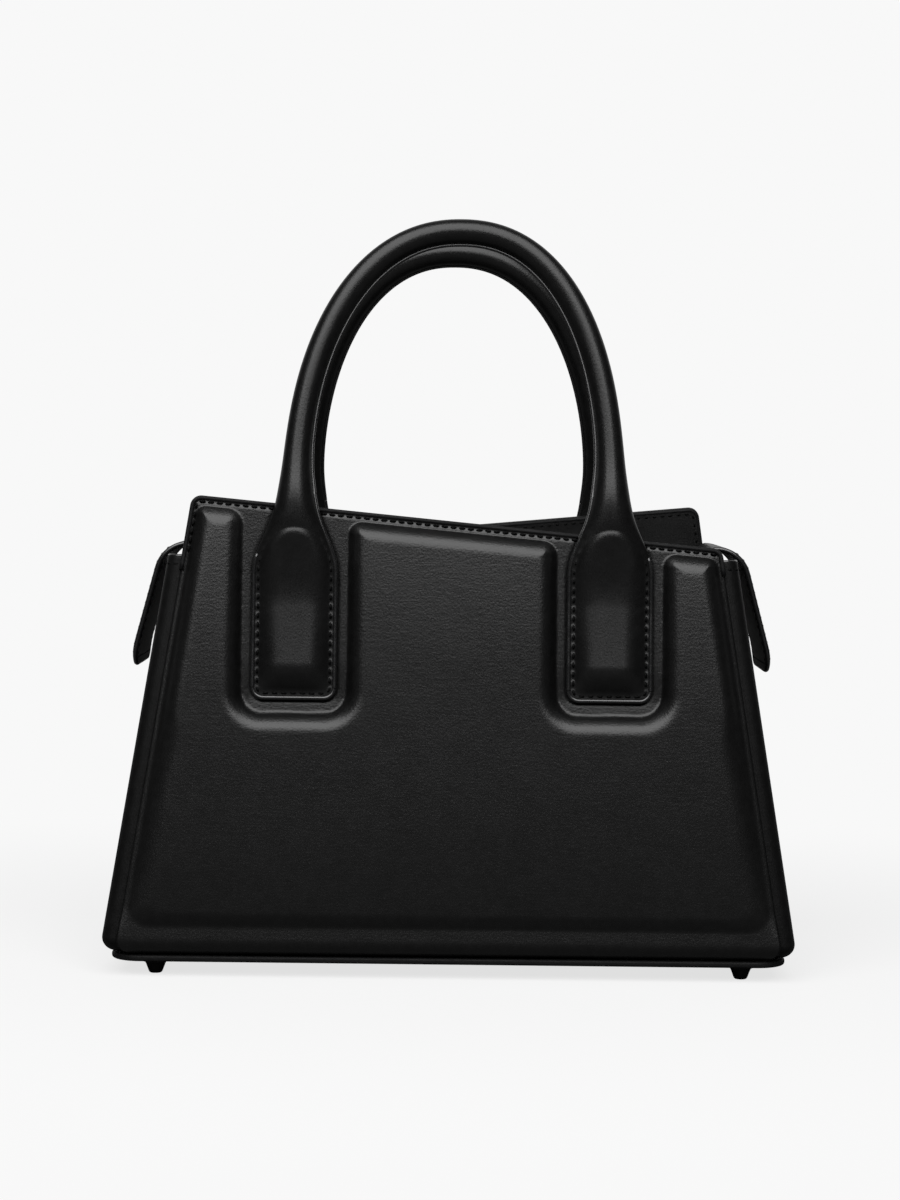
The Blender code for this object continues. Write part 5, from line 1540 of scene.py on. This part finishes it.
def make_puller():
    """Leather strap of the puller, stitched along its middle, and its metal link."""
    x = box_middle("zip_slider").x
    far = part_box("zip_puller")[1][0]
    level = PIN_Z + PULLER_THICKNESS / 2
    end = PULLER_HALF_WIDTH - PULLER_THICKNESS / 2
    xs = np.linspace(x + PULLER_START, far - PULLER_THICKNESS / 2, 40)
    left = xs[-1] - xs
    width = end * np.sqrt(np.clip(1 - (1 - np.clip(left / end, 0.0, 1.0)) ** 2, 0.03, 1.0))
    shares = np.linspace(-1.0, 1.0, 10)[:, None]
    grid = np.stack(np.broadcast_arrays(xs, shares * width, level), axis=-1)
    strap = skin("puller_strap", grid, PULLER_THICKNESS, [BAND_LEATHER, BAND_LEATHER, EDGE_PAINT])
    placed(strap, "puller", ["zip_puller"])
    link = []
    for a in np.linspace(0.0, 2 * math.pi, 40, endpoint=False):
        along = LINK_HALF_LENGTH + LINK_HALF_LENGTH * squared_off(math.cos(a), 0.8)
        link.append((x - LINK_LAP + along, LINK_HALF_WIDTH * squared_off(math.sin(a), 0.6), PIN_Z))
    link.append(link[0])
    wire = tube_part(tube_rings(link, LINK_RADIUS, 8, first=AXIS_Z))
    placed(joined("puller_link", [wire], [SLIDER_METAL]), "puller")
    line = np.array([[xs[0] + PULLER_STITCH_START, 0.0, level], [far - PULLER_HALF_WIDTH, 0.0, level]])
    stitching("puller_stitches", [(line, AXIS_Z)], "puller", pitch=PULLER_STITCH_PITCH)


# Base, feet and lining

SEAM_HALF_X = BODY_HALF_WIDTH - ROLL_RADIUS
SEAM_HALF_Y = BODY_HALF_DEPTH - ROLL_RADIUS
BASE_STITCH_INSET = 0.004
BASE_STITCH_CORNER_CUT = 0.003
FOOT_SIDES = 48
FOOT_PROFILE = ((0.0017, 0.0), (0.0022, 0.0001), (0.00255, 0.0004), (0.0028, 0.0009), (0.0031, 0.0017),
                (0.0035, 0.0028), (0.0038, 0.0036), (0.0041, 0.0041), (0.0044, 0.00445), (0.0050, 0.0046),
                (0.0052, 0.0048), (0.0052, 0.0051), (0.0050, 0.0054), (0.0047, FOOT_HEIGHT - FIT_GAP))
LINING_SIDE_MARGIN = 0.001
LINING_PRESS_LIMIT = 0.0002
END_LINING_GAP = 0.0013
END_LINING_TOP_MARGIN = 0.0012
END_LINING_HOLLOW = 0.0004
FLOOR_LINING_MARGIN = 0.002


def rounded_rectangle(half_x, half_y, radius, steps=12):
    """Points anticlockwise round a rectangle with round corners."""
    points = []
    for cx, cy, first in ((1, -1, -90.0), (1, 1, 0.0), (-1, 1, 90.0), (-1, -1, 180.0)):
        for k in range(steps + 1):
            angle = math.radians(first + 90.0 * k / steps)
            points.append((cx * (half_x - radius) + radius * math.cos(angle),
                           cy * (half_y - radius) + radius * math.sin(angle)))
    return points


def make_base():
    """Base leather with a painted edge and a stitched border."""
    half_x = SEAM_HALF_X + BASE_LIP
    half_y = SEAM_HALF_Y + BASE_LIP
    outline = rounded_rectangle(half_x, half_y, BASE_CORNER_RADIUS)
    rings = outline_plate(outline, FOOT_HEIGHT, FOOT_HEIGHT + BASE_THICKNESS, BASE_THICKNESS * 0.36)
    inner = rounded_rectangle(half_x - BASE_STITCH_INSET, half_y - BASE_STITCH_INSET,
                              BASE_CORNER_RADIUS - BASE_STITCH_CORNER_CUT)
    low = np.column_stack([inner, np.full(len(inner), FOOT_HEIGHT)])
    high = np.column_stack([inner, np.full(len(inner), FOOT_HEIGHT + BASE_THICKNESS)])
    rings = np.concatenate([[low], rings, [high]])
    verts, faces = capped_part(rings)
    finish = np.zeros(len(faces), dtype=np.int32)
    finish[len(inner):len(inner) * (len(rings) - 2)] = 1
    base = mesh_piece("base_leather_plate", verts, faces, [BASE_LEATHER, BASE_PAINT], finish)
    placed(base, "bag", ["base_panel"])
    line = np.concatenate([low, low[:1]])
    stitching("base_stitches", [(line, -AXIS_Z)], "bag")


def make_feet():
    """Turned feet: a domed tip, a cone that widens upward and a collar below the base."""
    for place in CORNERS:
        centre = box_middle(place + "_foot")
        rings = []
        for radius, z in FOOT_PROFILE:
            angles = [2 * math.pi * k / FOOT_SIDES for k in range(FOOT_SIDES)]
            rings.append([(centre.x + radius * math.cos(angle), centre.y + radius * math.sin(angle), z)
                          for angle in angles])
        foot = joined(place + "_foot_turned", [capped_part(rings)], [FOOT_METAL])
        placed(foot, "bag", [place + "_foot"])


def panel_lining_grid(side):
    """Inner face of a panel's cloth, from the seam to the facing, a little loose."""
    top = FACING_BOTTOM_Z - FIT_GAP
    rows = []
    for station in np.concatenate([np.linspace(0.0, 1.0, 10, endpoint=False), np.linspace(1.0, 2.0, 60)]):
        y, z = wall_point(BODY_HALF_DEPTH, PANEL_LEAN, LINING_DEPTH, min(station, 1.0))
        x = wall_point(BODY_HALF_WIDTH, SIDE_LEAN, 0.0, min(station, 1.0))[0]
        if station > 1.0:
            rise = (station - 1.0) * (top - z)
            y -= rise * math.tan(PANEL_LEAN)
            z += rise
            x = side_distance(z)
        half = x - GUSSET_CORNER_RADIUS - LINING_SIDE_MARGIN
        xs = np.linspace(half, -half, 110)
        rows.append(np.stack([xs, np.full_like(xs, -y), np.full_like(xs, z)], axis=-1))
    grid = np.array(rows)
    loose = waves(grid[..., 0], grid[..., 2], side + "l", *LINING_WAVES)
    grid[..., 1] += LINING_THICKNESS + np.maximum(loose, -LINING_PRESS_LIMIT)
    return grid


def make_linings():
    """Cloth inside: each wall and the floor."""
    linings = [(side, panel_lining_grid(side), side + "_stiffener", SIDES[side][0]) for side in SIDES]
    for end, turned in ENDS.items():
        grid = gusset_grid(GUSSET_THICKNESS + END_LINING_GAP, 0.0, END_LINING_TOP_MARGIN,
                           END_LINING_HOLLOW, 60)[:, ::-1]
        linings.append((end, grid, end + "_gusset_leather", turned))
    reach_x = SEAM_HALF_X - FLOOR_LINING_MARGIN
    reach_y = SEAM_HALF_Y - FLOOR_LINING_MARGIN
    grid = flat_grid(np.linspace(-reach_x, reach_x, 110), np.linspace(-reach_y, reach_y, 50),
                     SEAM_Z + LINING_DEPTH + LINING_THICKNESS)
    grid[..., 2] += waves(grid[..., 0], grid[..., 1], "floor", *FLOOR_WAVES)
    linings.append(("floor", grid, "base_board", False))
    for place, grid, rests_on, turned in linings:
        cloth_piece(place + "_lining_cloth", grid, LINING_THICKNESS, LINING_CLOTH, "bag",
                    place + "_lining", turned)


def finish_hidden():
    """Finishes of the solids that stay as they are."""
    finishes = {"front_stiffener": BOARD, "back_stiffener": BOARD, "base_board": BOARD,
                "front_handle_core": CORD, "back_handle_core": CORD}
    for place in CORNERS:
        finishes[place + "_washer"] = WASHER_METAL
    for name, finish in finishes.items():
        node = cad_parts[name]
        node.data.materials.clear()
        node.data.materials.append(finish)


# Camera, from the photograph's 900 by 1200 frame

PHOTO_WIDTH = 900
PHOTO_HEIGHT = 1200
FOCAL_PIXELS = 2711.0
SENSOR = 36.0
CAMERA_PITCH = math.radians(2.96)
CAMERA_ROLL = math.radians(0.65)
TARGET = np.array([0.0, -0.060, 0.008])
TARGET_PIXEL = (448.2, 961.0)
TARGET_DEPTH = 1.050


def make_camera():
    """The photo's camera, placed so that the target point falls on its pixel."""
    forward = np.array([0.0, math.cos(CAMERA_PITCH), -math.sin(CAMERA_PITCH)])
    level = unit(np.cross(forward, AXIS_Z))
    upright = np.cross(level, forward)
    right = math.cos(CAMERA_ROLL) * level + math.sin(CAMERA_ROLL) * upright
    up = -math.sin(CAMERA_ROLL) * level + math.cos(CAMERA_ROLL) * upright
    across = (TARGET_PIXEL[0] - PHOTO_WIDTH / 2) / FOCAL_PIXELS
    above = (PHOTO_HEIGHT / 2 - TARGET_PIXEL[1]) / FOCAL_PIXELS
    place = TARGET - (forward + across * right + above * up) * TARGET_DEPTH
    data = bpy.data.cameras.new("photo_camera")
    data.sensor_width = SENSOR
    data.lens = FOCAL_PIXELS * SENSOR / PHOTO_HEIGHT
    camera = bpy.data.objects.new("photo_camera", data)
    turn = Matrix((right, up, -forward)).transposed().to_4x4()
    camera.matrix_world = Matrix.Translation(place) @ turn
    bpy.context.scene.collection.objects.link(camera)
    bpy.context.scene.camera = camera


# Light and stage. A rise is the range of directions over which a glow comes up

BACKGROUND = 0.9387
ROOM_GLOW = 0.030
BACKDROP_GLOW = 0.50
BACKDROP_RISE = (0.25, 0.90)
FRONT_GLOW = 0.03
FRONT_RISE = (0.55, 0.97)
FLOOR_TONE = 0.10
FLOOR_MATT = 0.80
FLOOR_HALF_SIZE = 6.0
SHADOW_STRETCH = (0.55, 1.0, 1.0)
SHADOW_SHARE = 0.24
SHADOW_NEAR = 0.12
SHADOW_FAR = 0.42
SHADOW_LIFT = 0.10
SOFTBOX_DISTANCE = 1.5
SOFTBOX_LOW = math.radians(20.0)
SOFTBOX_HIGH = math.radians(79.0)
SOFTBOX_HALF_AZIMUTH = math.radians(33.0)
SOFTBOX_SIDE = -0.10
SOFTBOX_RADIANCE = 3.75
BAG_MIDDLE = (0.0, -0.04, 0.20)


def grey(level):
    return (level, level, level, 1.0)


def make_world():
    """Pale grey to the camera, and a dim room with a lit backdrop to everything else."""
    world = bpy.data.worlds.new("studio")
    bpy.context.scene.world = world
    world.use_nodes = True
    tree = world.node_tree
    place = tree.nodes.new("ShaderNodeTexCoord")
    split = tree.nodes.new("ShaderNodeSeparateXYZ")
    tree.links.new(place.outputs["Generated"], split.inputs[0])

    def graded(axis_sign, rise, level):
        scaled = tree.nodes.new("ShaderNodeMapRange")
        scaled.interpolation_type = "SMOOTHSTEP"
        for socket, value in zip(("From Min", "From Max", "To Min", "To Max"), (*rise, 0.0, level)):
            scaled.inputs[socket].default_value = value
        signed = tree.nodes.new("ShaderNodeMath")
        signed.operation = "MULTIPLY"
        signed.inputs[1].default_value = axis_sign
        tree.links.new(split.outputs["Y"], signed.inputs[0])
        tree.links.new(signed.outputs[0], scaled.inputs["Value"])
        return scaled.outputs["Result"]

    both = tree.nodes.new("ShaderNodeMath")
    tree.links.new(graded(1.0, BACKDROP_RISE, BACKDROP_GLOW), both.inputs[0])
    tree.links.new(graded(-1.0, FRONT_RISE, FRONT_GLOW), both.inputs[1])
    level = tree.nodes.new("ShaderNodeMath")
    level.inputs[1].default_value = ROOM_GLOW
    tree.links.new(both.outputs[0], level.inputs[0])
    dim = tree.nodes.new("ShaderNodeBackground")
    dim.inputs["Color"].default_value = grey(1.0)
    tree.links.new(level.outputs[0], dim.inputs["Strength"])
    shown = tree.nodes["Background"]
    shown.inputs["Color"].default_value = grey(BACKGROUND)
    path = tree.nodes.new("ShaderNodeLightPath")
    mix = tree.nodes.new("ShaderNodeMixShader")
    sources = (path.outputs["Is Camera Ray"], dim.outputs[0], shown.outputs[0])
    for socket, source in zip(mix.inputs, sources):
        tree.links.new(source, socket)
    tree.links.new(mix.outputs[0], tree.nodes["World Output"].inputs[0])


def make_floor():
    """Pale floor that blends into the backdrop and keeps a soft shadow near the bag."""
    finish = Finish("pale_floor")
    finish.tree.nodes.remove(finish.shader)

    def mixed(kind, *sources):
        made = finish.node(kind)
        for socket, source in zip(made.inputs, sources):
            finish.link(source, socket)
        return made.outputs[0]

    distance = finish.node("ShaderNodeVectorMath")
    distance.operation = "LENGTH"
    finish.link(finish.scaled(SHADOW_STRETCH), distance.inputs[0])
    near = finish.mapped(distance.outputs["Value"], SHADOW_NEAR, SHADOW_FAR, SHADOW_SHARE, 0.0)
    matt = finish.node("ShaderNodeBsdfDiffuse", color=grey(FLOOR_MATT)).outputs[0]
    bright = finish.node("ShaderNodeEmission", color=grey(BACKGROUND)).outputs[0]
    lift = finish.node("ShaderNodeEmission", color=grey(1.0))
    finish.link(finish.maths("MULTIPLY", near, SHADOW_LIFT), lift.inputs["Strength"])
    shadowed = mixed("ShaderNodeMixShader", near, bright, matt)
    lifted = mixed("ShaderNodeAddShader", shadowed, lift.outputs[0])
    dull = finish.node("ShaderNodeBsdfDiffuse", color=grey(FLOOR_TONE)).outputs[0]
    to_camera = finish.node("ShaderNodeLightPath").outputs["Is Camera Ray"]
    seen = mixed("ShaderNodeMixShader", to_camera, dull, lifted)
    finish.link(seen, finish.tree.nodes["Material Output"].inputs[0])
    size = FLOOR_HALF_SIZE
    corners = [(-size, -size, 0), (size, -size, 0), (size, size, 0), (-size, size, 0)]
    mesh_piece("floor", corners, [(0, 1, 2, 3)], [finish.material])


def make_softbox():
    """One large softbox in front of and above the bag, level from side to side."""
    middle = (SOFTBOX_LOW + SOFTBOX_HIGH) / 2
    half = (SOFTBOX_HIGH - SOFTBOX_LOW) / 2
    height = 2 * SOFTBOX_DISTANCE * math.tan(half)
    low_run = SOFTBOX_DISTANCE / math.cos(half) * math.cos(SOFTBOX_LOW)
    width = 2 * low_run * math.tan(SOFTBOX_HALF_AZIMUTH)
    x, y, z = BAG_MIDDLE
    y -= SOFTBOX_DISTANCE * math.cos(middle)
    z += SOFTBOX_DISTANCE * math.sin(middle)
    place = Vector((x + SOFTBOX_SIDE, y, z))
    data = bpy.data.lights.new("softbox", "AREA")
    data.shape = "RECTANGLE"
    data.size = width
    data.size_y = height
    data.energy = SOFTBOX_RADIANCE * math.pi * width * height
    lamp = bpy.data.objects.new("softbox", data)
    lamp.location = place
    lamp.rotation_euler = (Vector(BAG_MIDDLE) - place).to_track_quat("-Z", "Y").to_euler()
    bpy.context.scene.collection.objects.link(lamp)


bpy.context.scene.view_settings.view_transform = "Standard"
make_world()
make_floor()
make_softbox()
make_camera()
for wall in SIDES:
    make_panel(wall)
    make_wall_edge(wall)
    make_side_seams(wall)
    make_wall_stitches(wall)
    make_facing(wall)
    make_handle(wall)
    make_tab_stitches(wall)
    make_strip(wall)
for wall_end, end_turned in ENDS.items():
    make_gusset(wall_end, end_turned)
    make_band_end(wall_end, end_turned)
make_zip_start()
make_zip_stop()
make_slider()
make_puller()
make_base()
make_feet()
make_linings()
finish_hidden()
